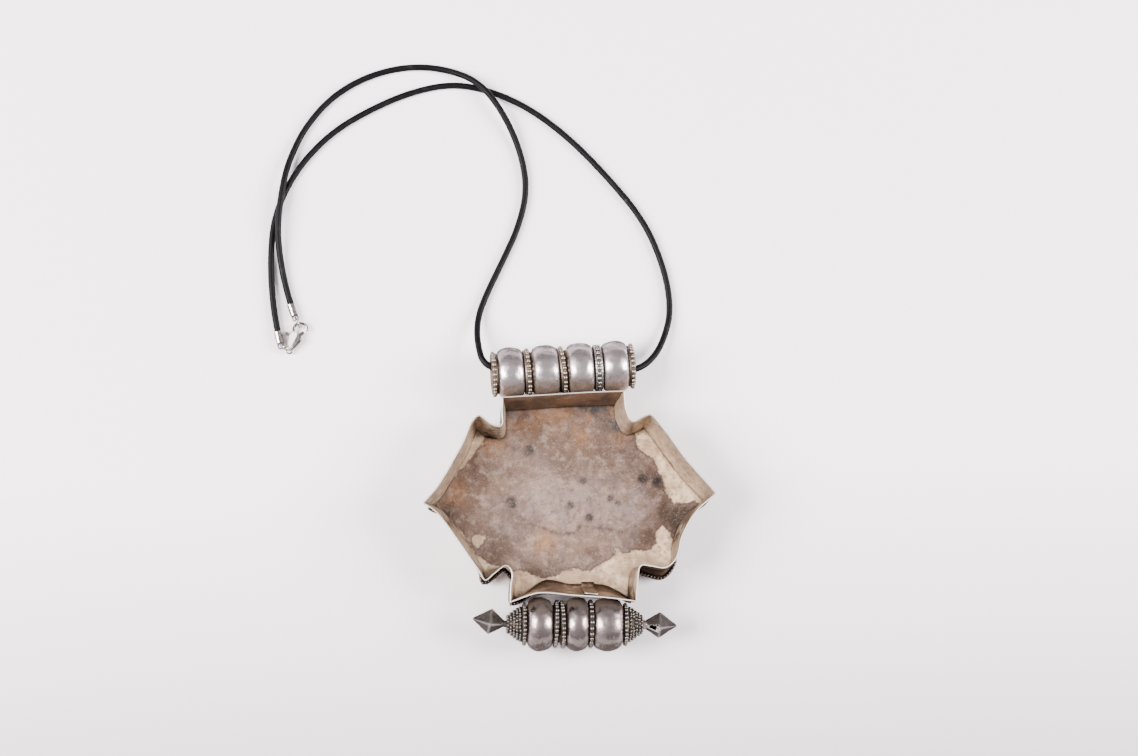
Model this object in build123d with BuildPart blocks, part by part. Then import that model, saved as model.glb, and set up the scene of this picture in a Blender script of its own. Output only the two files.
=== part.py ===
from build123d import *
from math import asin, cos, degrees, pi, radians, sin, sqrt, tan
import os

# Ghau amulet box on a leather cord, lying face down with its open back up, in millimetres.
# +X is right, +Y is towards the hanger, +Z is up; z = 0 is the surface that it lies on.

# Box outline at the rim, measured from the box's own centre
tip_half = 44.6
tab_half = 18.9
tab_reach = 31.8
notch_out = 1.7
notch_y = 22.0
notch_rise = 2.1
notch_run = 1.9
notch_lip = 0.8
lobe_out = 7.4
lobe_y = 25.0
shoulder_run = 3.0
shoulder_fall = 3.1
side_bow = 0.95

# How far each quarter of the rim is bent out of true: the tab's corner, the notch, the lobe, then the side's bow
upper_right = ((-1.0, 0.0), (-0.6, 0.9), (-0.8, -0.1), 0.0)
upper_left = ((0.5, 0.0), (0.2, 0.4), (0.2, 1.1), 0.0)
lower_left = ((0.5, -0.6), (0.5, -1.9), (0.1, -0.7), 0.6)
lower_right = ((0.0, 0.3), (0.6, -0.9), (0.9, -2.8), 0.6)

# How far the bottom edge is pushed in at the rim, at the fold beside the foot tube, at the wall's foot and on the plate
dent_x = -8.3
dent_bow = 0.15
rim_dent = 3.1
fold_dent = 4.3
foot_dent = 6.3
plate_dent = 1.5

# Sheet and wall
plate_thick = 0.8
wall_height = 16.0
wall_thick = 0.5
wall_flare = 1.65
flange = 1.1
lap_start = 3.1
lap_width = 4.6
lap_thick = 0.45
solder_gap = 0.03

# Beaded and plain border wires
base_wire_wide = 1.0
base_wire_high = 1.1
border_wire_wide = 1.1
border_wire_high = 1.0
border_inset = 2.6

# Stones and bezels on the front, which faces down
stone_high = 3.0
stone_girdle = 1.3
bezel_high = 1.9
bezel_thick = 0.4
centre_stone_r = 6.2
corner_stone_r = 2.8
corner_x = 22.0
corner_y = 12.5

# Tubes of domed barrels
tube_height = 10.5
barrel_sheet = 0.5
hanger_neck_r = 6.1
hanger_end_r = 5.7
hanger_barrel_r = 8.2
hanger_dome = 7.9
hanger_end_neck = 1.9
hanger_barrels = 4
hanger_skew = 2.0
banded_hoop = 4
saddle_thick = 0.6
saddle_half = 17.8
saddle_high = 4.5
foot_neck_r = 5.6
foot_end_r = 4.9
foot_barrel_r = 8.3
foot_domes = (7.8, 6.8, 9.0)
foot_nest = 2.75
foot_shift = 0.6
foot_skew = -2.3

# Beaded hoops
bead_r = 0.72
bead_pitch = 1.6
hoop_web = 0.25
band_rise = 0.35
band_flank = 0.42
band_play = 0.25
pair_pitch = 2.0
pair_play = 0.25

# Granulated cones and finials
cone_rows = (20, 17, 13, 9)
cone_row_pitch = 1.15
granule_r = 0.75
granule_pitch = 1.55
finial_stem_r = 1.0
finial_stem = 2.4
finial_neck = 0.8
finial_inner = 4.2
finial_outer = 5.2
finial_half = 4.1
finial_tip = 0.35

# Leather cord and its metal ends
cord_r = 1.0
cap_r = 1.25
cap_long = 3.6
cap_grip = 3.0
cord_lead = 3.2
cap_eye_r = 1.0
cap_eye_reach = 1.0
eye_hole_r = 0.64
eye_thick = 0.5
ring_wire_r = 0.3
ring_r = 1.6
ring_lift = 0.02
bend_share = 0.45

# Lobster clasp, along its own axis from the tail eye to the hook
clasp_tail = (-83.4, 48.9)
clasp_heading = 63.7
cap_a_bearing = 150.0
cap_a_heading = 101.0
cap_b_bearing = 111.5
cap_b_heading = 107.0
clasp_lift = 0.2
clasp_thick = 2.2
clasp_round = 0.6
clasp_slot = 1.2
clasp_eye_r = 1.2
hook_along = 7.33
hook_aside = -0.39
hook_r = 2.1
hook_wire_r = 0.45
hook_end = -78.0
hook_root = 152.0
hook_ring_play = 0.35
mouth_clear_r = 1.6
pivot_along = 4.0
pivot_aside = 0.0
pin_r = 0.35
pin_play = 0.04
trigger_thick = 1.06
trigger_knuckle_r = 0.85
spring_wire = 0.2
spring_high = 0.9
knob_along = 4.46
knob_aside = 2.85
knob_r = 0.5

# Corners of the clasp's profiles, along and across its axis
cheek = ((0.3, 0.9), (2.4, 1.75), (4.6, 2.3), (6.2, 2.15), (6.7, 1.5), (5.4, -1.9), (4.2, -2.0),
         (2.4, -1.5), (0.3, -0.9))
pocket = ((1.6, 0.6), (2.3, 0.6), (2.5, 3.4), (5.2, 3.4), (5.2, 0.75), (5.9, 0.45), (6.6, 0.45),
          (6.6, -2.6), (5.0, -2.6), (3.0, -1.4), (1.6, -0.6))
gate = ((4.29, 0.53), (7.25, -1.33), (7.02, -1.85), (6.6, -1.95), (3.71, -0.53))
knob_arm = ((3.5, 0.2), (4.02, 2.7), (4.9, 2.7), (4.6, 0.0))
leaf = ((1.75, 0.2), (2.55, 0.2), (3.0, 1.5))

# Corners of the true outline in its upper right quarter: the tab's corner, the notch and the lobe
true_corners = ((tab_half, tab_reach), (tab_half + notch_out, notch_y), (tab_half + lobe_out, lobe_y))
quarters = ((1, 1, upper_right), (-1, 1, upper_left), (-1, -1, lower_left), (1, -1, lower_right))

# Levels
plate_low = stone_high
floor_z = plate_low + plate_thick
rim_z = floor_z + wall_height

# Necks of the barrels, wide enough for the hoops that seat on them
hoop_seat = bead_r + solder_gap
hanger_neck = hoop_seat + band_flank + band_play
pair_seat = pair_pitch / 2 + hoop_seat + pair_play
foot_necks = ((2 * hoop_seat, pair_seat), (pair_seat, hoop_seat), (hoop_seat, 2 * hoop_seat))

# Centre of the box in plan, so that the whole body is centred on the origin
hanger_reach = tab_reach + saddle_thick + hanger_barrel_r
foot_reach = tab_reach - foot_nest + foot_barrel_r
foot_length = sum(foot_domes) + sum(sum(pair) for pair in foot_necks)
last_foot_dome = foot_length / 2 - foot_necks[-1][1] - foot_domes[-1] / 2
foot_drop = last_foot_dome * sin(radians(-foot_skew))
hanger_half = hanger_barrels * hanger_dome / 2 + (hanger_barrels - 1) * hanger_neck + hanger_end_neck
last_hanger_dome = hanger_half - hanger_end_neck - hanger_dome / 2
hanger_rise = last_hanger_dome * sin(radians(hanger_skew))
box_y = (foot_reach + foot_drop + foot_barrel_r - hanger_reach - hanger_rise - hanger_barrel_r) / 2
hanger_y = box_y + hanger_reach
foot_y = box_y - foot_reach

os.makedirs("parts", exist_ok=True)


def save(piece, name):
    piece.part.label = name
    export_step(piece.part, f"parts/{name}.step")


def outline(z, grow, dent, bend=0.0):
    """The box's ogee outline at height z, grown outwards, with its bottom edge pushed in by dent; bend is how much
    of the rim's bending out of true it has."""
    tabs = []
    with BuildSketch(Plane((0, box_y, z))) as plan:
        with BuildLine():
            for side, end, (*bends, more_bow) in quarters:
                (tab_x, tab_y), (notch_x, notch_top), (lobe_x, lobe_top) = (
                    (x + bend * out, y + bend * up) for (x, y), (out, up) in zip(true_corners, bends))
                shoulder_x, shoulder_y = lobe_x + shoulder_run, lobe_top - shoulder_fall
                chord_x, chord_y = tip_half - shoulder_x, -shoulder_y
                bow = (side_bow + bend * more_bow) / sqrt(chord_x**2 + chord_y**2)
                tab, turn, notch, lip, lobe, shoulder, middle, tip = (
                    (side * x, end * y) for x, y in (
                        (tab_x, tab_y), (tab_x, notch_top + notch_rise), (notch_x, notch_top),
                        (notch_x + notch_run, notch_top + notch_lip), (lobe_x, lobe_top), (shoulder_x, shoulder_y),
                        ((shoulder_x + tip_half) / 2 + bow * chord_y, shoulder_y / 2 - bow * chord_x),
                        (tip_half, 0)))
                Line(tab, turn)
                ThreePointArc(turn, notch, lip)
                ThreePointArc(lip, lobe, shoulder)
                ThreePointArc(shoulder, middle, tip)
                tabs.append(tab)
            Line(tabs[0], tabs[1])
            deepest = (dent_x, dent - tab_reach)
            for x, y in tabs[2:]:
                halfway = ((x + dent_x) / 2, (y + deepest[1]) / 2 + dent_bow * dent)
                ThreePointArc((x, y), halfway, deepest)
        make_face()
        if grow:
            offset(amount=grow, kind=Kind.INTERSECTION)
    return plan.sketch


def wall_section(z, inset):
    """The wall's outline at height z, inset from its outer face; the bottom edge has a fold beside the foot tube."""
    share = (z - floor_z) / wall_height
    fold = (tube_height - floor_z) / wall_height
    if share < fold:
        dent = foot_dent + (fold_dent - foot_dent) * share / fold
    else:
        dent = fold_dent + (rim_dent - fold_dent) * (share - fold) / (1 - fold)
    return outline(z, -wall_flare * (1 - share) - inset, dent, share)


def wall_body(inset):
    """Outlines of the wall at its foot, its fold and its rim, inset from its outer face."""
    return [wall_section(z, inset) for z in (floor_z, tube_height, rim_z)]


# Front plate with a narrow flange outside the wall
with BuildPart() as front_plate:
    extrude(outline(plate_low, flange - wall_flare, plate_dent), amount=plate_thick)
save(front_plate, "front_plate")

# Wall: one strip bent round the outline, with its two ends lapped inside the bottom edge
with BuildPart() as lap:
    loft(wall_body(wall_thick), ruled=True)
    loft(wall_body(wall_thick + lap_thick), ruled=True, mode=Mode.SUBTRACT)
    with Locations((lap_start + lap_width / 2, box_y - tab_reach, (floor_z + rim_z) / 2)):
        Box(lap_width, tab_reach, wall_height, mode=Mode.INTERSECT)
with BuildPart() as wall_strip:
    loft(wall_body(0), ruled=True)
    loft(wall_body(wall_thick), ruled=True, mode=Mode.SUBTRACT)
    add(lap.part)
save(wall_strip, "wall_strip")

# Beaded wire round the foot of the wall, lying on the plate
with BuildPart() as base_bead_wire:
    extrude(outline(floor_z, base_wire_wide - wall_flare, foot_dent), amount=base_wire_high)
    loft([wall_section(z, -solder_gap) for z in (floor_z, floor_z + base_wire_high)], ruled=True,
         mode=Mode.SUBTRACT)
save(base_bead_wire, "base_bead_wire")

# Plain border wire on the front face
border_out = flange - wall_flare - border_inset
with BuildPart() as front_border_wire:
    extrude(outline(plate_low, border_out, plate_dent), amount=-border_wire_high)
    extrude(outline(plate_low, border_out - border_wire_wide, plate_dent), amount=-border_wire_high,
            mode=Mode.SUBTRACT)
save(front_border_wire, "front_border_wire")

# Cabochons and their bezels on the front face
corner_places = [(sx * corner_x, box_y + sy * corner_y, plate_low) for sx in (1, -1) for sy in (1, -1)]
settings = (
    ("centre_bezel", "centre_stone", centre_stone_r, [(0, box_y, plate_low)]),
    ("corner_bezels", "corner_stones", corner_stone_r, corner_places),
)
for bezel_name, stone_name, stone_r, places in settings:
    with BuildPart() as bezel:
        with BuildSketch(Plane.XY.offset(plate_low)):
            with Locations([(x, y) for x, y, z in places]):
                Circle(stone_r + solder_gap + bezel_thick)
                Circle(stone_r + solder_gap, mode=Mode.SUBTRACT)
        extrude(amount=-bezel_high)
    save(bezel, bezel_name)
    with BuildPart() as cabochon:
        rise = stone_high - stone_girdle
        dome_r = (stone_r**2 + rise**2) / (2 * rise)
        half_turn = asin(stone_r / dome_r) / 2
        with BuildSketch(Plane.XZ):
            with BuildLine():
                Polyline((0, -stone_high), (0, 0), (stone_r, 0), (stone_r, -stone_girdle))
                dome_mid = (dome_r * sin(half_turn), dome_r - dome_r * cos(half_turn) - stone_high)
                ThreePointArc((stone_r, -stone_girdle), dome_mid, (0, -stone_high))
            make_face()
        revolve(axis=Axis.Z)
    with BuildPart() as stones:
        with Locations(*places):
            add(cabochon.part)
    save(stones, stone_name)


def tube_plane(centre, skew):
    """A plane along a tube: x runs along its axis, y points up."""
    turn = radians(skew)
    return Plane(centre, x_dir=(cos(turn), sin(turn), 0), z_dir=(sin(turn), -cos(turn), 0))


def barrel(plane, start, necks, ends, dome, crown_r, name):
    """One domed sheet barrel with a straight neck at each end; ends are the necks' radii."""
    middle = start + necks[0] + dome / 2
    end = middle + dome / 2 + necks[1]
    low = min(ends)
    rise = crown_r - low
    left, right = (degrees(asin((end_r - low) / rise)) for end_r in ends)
    with BuildPart() as shell:
        with BuildSketch(plane):
            with BuildLine():
                skin = EllipticalCenterArc((middle, low), dome / 2, rise, right, arc_size=180 - left - right)
                lining = EllipticalCenterArc((middle, low - barrel_sheet), dome / 2 - barrel_sheet, rise, right,
                                             arc_size=180 - left - right)
                Polyline(skin @ 1, (start, ends[0]), (start, ends[0] - barrel_sheet), lining @ 1)
                Polyline(skin @ 0, (end, ends[1]), (end, ends[1] - barrel_sheet), lining @ 0)
            make_face()
        revolve(axis=Axis(plane.origin, plane.x_dir))
    save(shell, name)
    return end


def across(plane, along):
    """The plane square to a tube's axis at a distance along it."""
    return Plane(plane.from_local_coords((along, 0, 0)), x_dir=plane.y_dir, z_dir=plane.x_dir)


def hoop(plane, along, neck_r, name, banded=False):
    """A hoop of beads that seats on necks of radius neck_r, with a plain band under it if banded."""
    hoop_r = neck_r + hoop_seat
    with BuildPart() as beads:
        with BuildSketch(across(plane, along)):
            with PolarLocations(hoop_r, round(2 * pi * hoop_r / bead_pitch)):
                Circle(bead_r)
            Circle(hoop_r + hoop_web)
            Circle(hoop_r - bead_r, mode=Mode.SUBTRACT)
        extrude(amount=bead_r, both=True)
        if banded:
            with BuildSketch(across(plane, along)):
                Circle(hoop_r + band_rise)
                Circle(hoop_r - bead_r, mode=Mode.SUBTRACT)
            extrude(amount=bead_r + band_flank, both=True)
    save(beads, name)


# Hanger tube along the top wall, and the saddle strip that carries it
hanger = tube_plane((0, hanger_y, tube_height), hanger_skew)
joint = -hanger_half
hanger_hoops = [(hoop_seat - hanger_half, hanger_end_r)]
for number in range(1, hanger_barrels + 1):
    first, first_r = (hanger_end_neck, hanger_end_r) if number == 1 else (hanger_neck, hanger_neck_r)
    last, last_r = (hanger_end_neck, hanger_end_r) if number == hanger_barrels else (hanger_neck, hanger_neck_r)
    joint = barrel(hanger, joint, (first, last), (first_r, last_r), hanger_dome, hanger_barrel_r,
                   f"hanger_barrel_{number}")
    hanger_hoops.append((joint, hanger_neck_r))
hanger_hoops[-1] = (hanger_half - hoop_seat, hanger_end_r)
for number, (along, seat_r) in enumerate(hanger_hoops, start=1):
    hoop(hanger, along, seat_r, f"hanger_ring_{number}", banded=number == banded_hoop)

with BuildPart() as hanger_saddle:
    low, high = tube_height - saddle_high, tube_height
    top_wall = box_y + tab_reach + solder_gap
    low_wall = top_wall - wall_flare * (rim_z - low) / wall_height
    high_wall = top_wall - wall_flare * (rim_z - high) / wall_height
    with BuildSketch(Plane((-saddle_half, 0, 0), x_dir=(0, 1, 0), z_dir=(1, 0, 0))):
        with BuildLine():
            Polyline((low_wall, low), (hanger_y, low), (hanger_y, high), (high_wall, high), close=True)
        make_face()
    extrude(amount=2 * saddle_half)
    with BuildSketch(across(hanger, 0)):
        Circle(hanger_barrel_r + solder_gap)
    extrude(amount=hanger_half, both=True, mode=Mode.SUBTRACT)
save(hanger_saddle, "hanger_saddle")

# Ornamental tube nested in the dent of the bottom wall
foot = tube_plane((foot_shift, foot_y, tube_height), foot_skew)
joint = -foot_length / 2
foot_hoops = [(joint + hoop_seat, foot_end_r)]
foot_ends = ((foot_end_r, foot_neck_r), (foot_neck_r, foot_neck_r), (foot_neck_r, foot_end_r))
for number, (dome, necks, ends) in enumerate(zip(foot_domes, foot_necks, foot_ends), start=1):
    joint = barrel(foot, joint, necks, ends, dome, foot_barrel_r, f"foot_barrel_{number}")
    foot_hoops.append((joint, foot_neck_r))
foot_hoops[-1] = (joint - hoop_seat, foot_end_r)
pair_at = foot_hoops[1][0]
foot_hoops[1:2] = [(pair_at - pair_pitch / 2, foot_neck_r), (pair_at + pair_pitch / 2, foot_neck_r)]
for number, (along, seat_r) in enumerate(foot_hoops, start=1):
    hoop(foot, along, seat_r, f"foot_ring_{number}")

# Granulated cones and four-sided finials at both ends of that tube
cone_long = len(cone_rows) * cone_row_pitch
for side, name in ((-1, "left"), (1, "right")):
    base = side * foot_length / 2
    with BuildPart() as cone:
        for row, granules in enumerate(cone_rows):
            row_r = granules * granule_pitch / (2 * pi)
            with BuildSketch(across(foot, base + side * row * cone_row_pitch)):
                with PolarLocations(row_r, granules, start_angle=180 / granules * row):
                    Circle(granule_r)
                Circle(row_r)
            extrude(amount=side * cone_row_pitch)
        with BuildSketch(across(foot, base + side * cone_long)):
            Circle(finial_stem_r + solder_gap)
        extrude(amount=-side * finial_stem, mode=Mode.SUBTRACT)
    save(cone, f"foot_cone_{name}")
    with BuildPart() as finial:
        with BuildSketch(across(foot, base + side * (cone_long + finial_neck))):
            Circle(finial_stem_r)
        extrude(amount=-side * (finial_neck + finial_stem - solder_gap))
        shoulder = cone_long + finial_neck
        squares = (
            (shoulder, finial_stem_r),
            (shoulder + finial_inner, finial_half),
            (shoulder + finial_inner + finial_outer, finial_tip),
        )
        sections = []
        for along, half in squares:
            with BuildSketch(across(foot, base + side * along)) as square:
                RegularPolygon(half, 4)
            sections.append(square.sketch)
        loft(sections, ruled=True)
    save(finial, f"foot_finial_{name}")


def heading(angle):
    """A level direction, in degrees from +X."""
    return Vector(cos(radians(angle)), sin(radians(angle)), 0)


# Where the clasp, the rings and the cord's caps lie on the surface
ring_z = ring_lift + ring_wire_r + ring_r
clasp_mid_z = clasp_lift + clasp_thick / 2
eye_gap = 2 * sqrt(ring_r**2 - (ring_z - cap_r) ** 2)
clasp = Plane((*clasp_tail, clasp_mid_z), x_dir=heading(clasp_heading), z_dir=(0, 0, 1))
hook_centre = clasp.from_local_coords((hook_along, hook_aside, 0))
cap_a_eye = clasp.origin + heading(cap_a_bearing) * eye_gap
cap_b_eye = hook_centre + heading(cap_b_bearing) * (hook_r + hook_ring_play + eye_gap / 2)


def cord_cap(eye, angle, name):
    """A crimp tube with a flat eye at its closed end; the cord goes in at its mouth."""
    along = heading(angle)
    seat = Vector(eye.X, eye.Y, cap_r)
    with BuildPart() as cap:
        with BuildSketch(Plane(seat + along * cap_eye_reach, z_dir=along)):
            Circle(cap_r)
        extrude(amount=cap_long)
        with BuildSketch(Plane(seat + along * (cap_eye_reach + cap_long - cap_grip), z_dir=along)):
            Circle(cord_r + solder_gap)
        extrude(amount=cap_grip, mode=Mode.SUBTRACT)
        with BuildSketch(Plane(seat - Vector(0, 0, eye_thick / 2), x_dir=along, z_dir=(0, 0, 1))):
            Circle(cap_eye_r)
            with Locations(((cap_eye_reach + cap_long - cap_grip) / 2, 0)):
                Rectangle(cap_eye_reach + cap_long - cap_grip, 2 * cap_eye_r)
            Circle(eye_hole_r, mode=Mode.SUBTRACT)
        extrude(amount=eye_thick)
    save(cap, name)


def jump_ring(eye, angle, name):
    """A wire ring that stands on edge and passes through an eye, reaching from it along angle."""
    middle = Vector(eye.X, eye.Y, ring_z) + heading(angle) * (eye_gap / 2)
    with BuildPart(Plane(middle, z_dir=heading(angle + 90))) as ring:
        Torus(ring_r, ring_wire_r)
    save(ring, name)


cord_cap(cap_a_eye, cap_a_heading, "cord_cap_a")
cord_cap(cap_b_eye, cap_b_heading, "cord_cap_b")
jump_ring(cap_a_eye, cap_a_bearing + 180, "jump_ring_a")
jump_ring(cap_b_eye, cap_b_bearing + 180, "jump_ring_b")

# Clasp body: tail eye, two cheeks round a slot for the trigger, and a round hook
with BuildPart() as clasp_body:
    with BuildSketch(clasp.offset(-clasp_thick / 2)):
        with BuildLine():
            Polyline(*cheek, close=True)
        make_face()
    extrude(amount=clasp_thick)
    faces = clasp_body.faces().sort_by(Axis.Z)
    fillet(faces[0].edges() + faces[-1].edges(), clasp_round)
    with BuildSketch(clasp.offset(-clasp_thick / 2)):
        with Locations((hook_along, hook_aside)):
            Circle(mouth_clear_r)
        Circle(clasp_eye_r)
    extrude(amount=clasp_thick, mode=Mode.SUBTRACT)
    with BuildSketch(clasp.offset(-eye_thick / 2)):
        Circle(clasp_eye_r + solder_gap)
        Circle(eye_hole_r, mode=Mode.SUBTRACT)
    extrude(amount=eye_thick)
    with BuildLine(clasp) as hook:
        CenterArc((hook_along, hook_aside), hook_r, hook_end, hook_root - hook_end)
    with BuildSketch(hook.line ^ 0):
        Circle(hook_wire_r)
    sweep()
    with BuildSketch(clasp.offset(-clasp_slot / 2)):
        with BuildLine():
            Polyline(*pocket, close=True)
        make_face()
    extrude(amount=clasp_slot, mode=Mode.SUBTRACT)
    with BuildSketch(clasp.offset(-clasp_thick / 2)):
        with Locations((pivot_along, pivot_aside)):
            Circle(pin_r + solder_gap)
    extrude(amount=clasp_thick, mode=Mode.SUBTRACT)
save(clasp_body, "clasp_body")

# Trigger: a bell crank whose nose shuts the mouth and whose knob stands out on the other side
with BuildPart() as clasp_trigger:
    with BuildSketch(clasp.offset(-trigger_thick / 2)):
        with Locations((pivot_along, pivot_aside)):
            Circle(trigger_knuckle_r)
        for arm in (gate, knob_arm):
            with BuildLine():
                Polyline(*arm, close=True)
            make_face()
        with Locations((knob_along, knob_aside)):
            Circle(knob_r)
        with Locations((pivot_along, pivot_aside)):
            Circle(pin_r + pin_play, mode=Mode.SUBTRACT)
    extrude(amount=trigger_thick)
save(clasp_trigger, "clasp_trigger")

with BuildPart() as clasp_pin:
    with BuildSketch(clasp.offset(-clasp_thick / 2)):
        with Locations((pivot_along, pivot_aside)):
            Circle(pin_r)
    extrude(amount=clasp_thick)
save(clasp_pin, "clasp_pin")

# Return spring: a bent leaf, held in the pocket behind the knob
with BuildPart() as clasp_spring:
    with BuildSketch(clasp.offset(-spring_high / 2)):
        with BuildLine():
            Polyline(*leaf)
        trace(line_width=spring_wire)
    extrude(amount=spring_high)
save(clasp_spring, "clasp_spring")

# Leather cord from cap A round to the hanger's right end, through it, and back over itself to cap B
cap_depth = cap_eye_reach + cap_long - cap_grip


def on_cap(eye, angle, reach):
    """A point on a cap's axis, at a distance from its eye."""
    place = eye + heading(angle) * reach
    return place.X, place.Y, cap_r


route = [
    on_cap(cap_a_eye, cap_a_heading, cap_depth + solder_gap),
    on_cap(cap_a_eye, cap_a_heading, cap_depth + cap_grip + cord_lead),
    (-88.4, 68.5, 1.0), (-88.4, 80.0, 1.0), (-87.1, 90.5, 1.0), (-83.2, 100.3, 1.0),
    (-76.8, 109.8, 1.0), (-67.5, 118.6, 1.0), (-55.6, 125.3, 1.0), (-43.0, 130.5, 1.0),
    (-29.8, 132.9, 1.0), (-17.0, 129.8, 1.0), (-5.0, 123.4, 1.0), (6.6, 113.6, 1.0), (17.8, 101.0, 1.0),
    (28.4, 87.0, 1.0), (34.0, 71.5, 1.0), (35.4, 58.5, 1.1), (32.6, 49.3, 2.4), (29.2, 43.6, 4.6),
    (25.2, 40.0, 6.8), (20.6, 38.6, 7.8), (13.0, 38.8, 7.8), (0.5, 39.4, 7.9), (-13.0, 39.4, 8.0),
    (-21.2, 39.6, 8.2), (-24.4, 42.2, 7.7), (-25.3, 47.3, 6.4), (-25.6, 53.0, 3.6), (-24.6, 59.0, 1.6),
    (-21.6, 66.0, 1.0), (-16.6, 75.5, 1.0), (-11.0, 86.8, 1.0), (-8.0, 98.8, 1.0), (-10.0, 111.5, 1.6),
    (-15.4, 123.6, 6.0), (-22.4, 133.0, 6.0), (-33.0, 137.7, 1.6), (-44.6, 138.7, 1.0),
    (-57.0, 135.8, 1.0), (-68.2, 129.4, 1.0), (-76.6, 120.0, 1.0), (-81.4, 110.5, 1.8),
    (-83.9, 102.5, 6.0), (-86.2, 88.0, 6.0), (-85.5, 77.0, 1.6),
    on_cap(cap_b_eye, cap_b_heading, cap_depth + cap_grip + cord_lead),
    on_cap(cap_b_eye, cap_b_heading, cap_depth + solder_gap),
]
points = [Vector(*point) for point in route]
radii = []
for before, corner, after in zip(points, points[1:], points[2:]):
    turn = radians((corner - before).get_angle(after - corner))
    shorter = min((corner - before).length, (after - corner).length)
    radii.append(bend_share * shorter / tan(turn / 2))
print("cord radii", [round(radius, 1) for radius in radii])
with BuildPart() as leather_cord:
    with BuildLine() as run:
        FilletPolyline(*points, radius=radii)
    with BuildSketch(run.line ^ 0):
        Circle(cord_r)
    sweep()
cord_length = sum(edge.length for edge in run.edges())
print("cord length", round(cord_length, 1), "volume", round(leather_cord.part.volume, 1))
print("section times length", round(pi * cord_r**2 * cord_length, 1))
save(leather_cord, "leather_cord")
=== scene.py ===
import bpy
import bmesh
import math
import random
from mathutils import Matrix, Vector, kdtree, noise
from mathutils.geometry import delaunay_2d_cdt


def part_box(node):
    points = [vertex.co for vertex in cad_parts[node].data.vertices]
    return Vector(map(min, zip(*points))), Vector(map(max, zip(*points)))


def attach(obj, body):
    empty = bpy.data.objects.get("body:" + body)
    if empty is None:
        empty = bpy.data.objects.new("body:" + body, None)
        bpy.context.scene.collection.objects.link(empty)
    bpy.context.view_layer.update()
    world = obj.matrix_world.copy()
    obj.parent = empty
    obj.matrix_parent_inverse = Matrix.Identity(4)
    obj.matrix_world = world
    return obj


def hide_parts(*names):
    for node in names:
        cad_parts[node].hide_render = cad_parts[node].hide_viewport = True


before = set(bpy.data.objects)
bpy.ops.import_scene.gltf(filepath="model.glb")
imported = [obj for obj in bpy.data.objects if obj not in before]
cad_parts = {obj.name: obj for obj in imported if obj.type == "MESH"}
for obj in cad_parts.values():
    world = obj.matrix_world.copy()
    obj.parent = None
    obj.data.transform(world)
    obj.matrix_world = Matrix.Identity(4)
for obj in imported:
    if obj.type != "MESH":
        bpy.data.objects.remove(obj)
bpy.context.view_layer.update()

# Sizes below are in millimetres in the model's own frame, and MM turns them into metres.
MM = 0.001
DICE = random.Random(11)

# Levels and places, read from the solids
def corners(name):
    low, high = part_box(name)
    return low / MM, high / MM


def centre(name):
    low, high = corners(name)
    return (low + high) / 2


TAB_REACH = 31.8
PLATE_LOW = corners("front_plate")[0].z
FLOOR_Z, RIM_Z = (corner.z for corner in corners("wall_strip"))
BOX_Y = corners("wall_strip")[1].y - TAB_REACH
SHEET = 0.5
BEAD_R = 0.72
SEAT_GAP = 0.03

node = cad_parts


# Camera: almost overhead, turned a little, at the photograph's distance
VIEW_FROM = Vector((-0.08, -0.17, 1.0))
VIEW_ROLL = math.radians(2.3)
CAMERA_AT = Vector((-67.8, -111.6, 881.4))
LENS, SENSOR = 91.5, 36.0
back = VIEW_FROM.normalized()
level_up = (Vector((0, 1, 0)) - back * back.y).normalized()
level_right = level_up.cross(back)
up = level_up * math.cos(VIEW_ROLL) + level_right * math.sin(VIEW_ROLL)
right = level_right * math.cos(VIEW_ROLL) - level_up * math.sin(VIEW_ROLL)
camera = bpy.data.objects.new("camera", bpy.data.cameras.new("camera"))
camera.data.sensor_fit = "HORIZONTAL"
camera.data.sensor_width = SENSOR
camera.data.lens = LENS
camera.matrix_world = Matrix.Translation(CAMERA_AT * MM) @ Matrix((right, up, back)).transposed().to_4x4()
bpy.context.scene.collection.objects.link(camera)
bpy.context.scene.camera = camera


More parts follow.
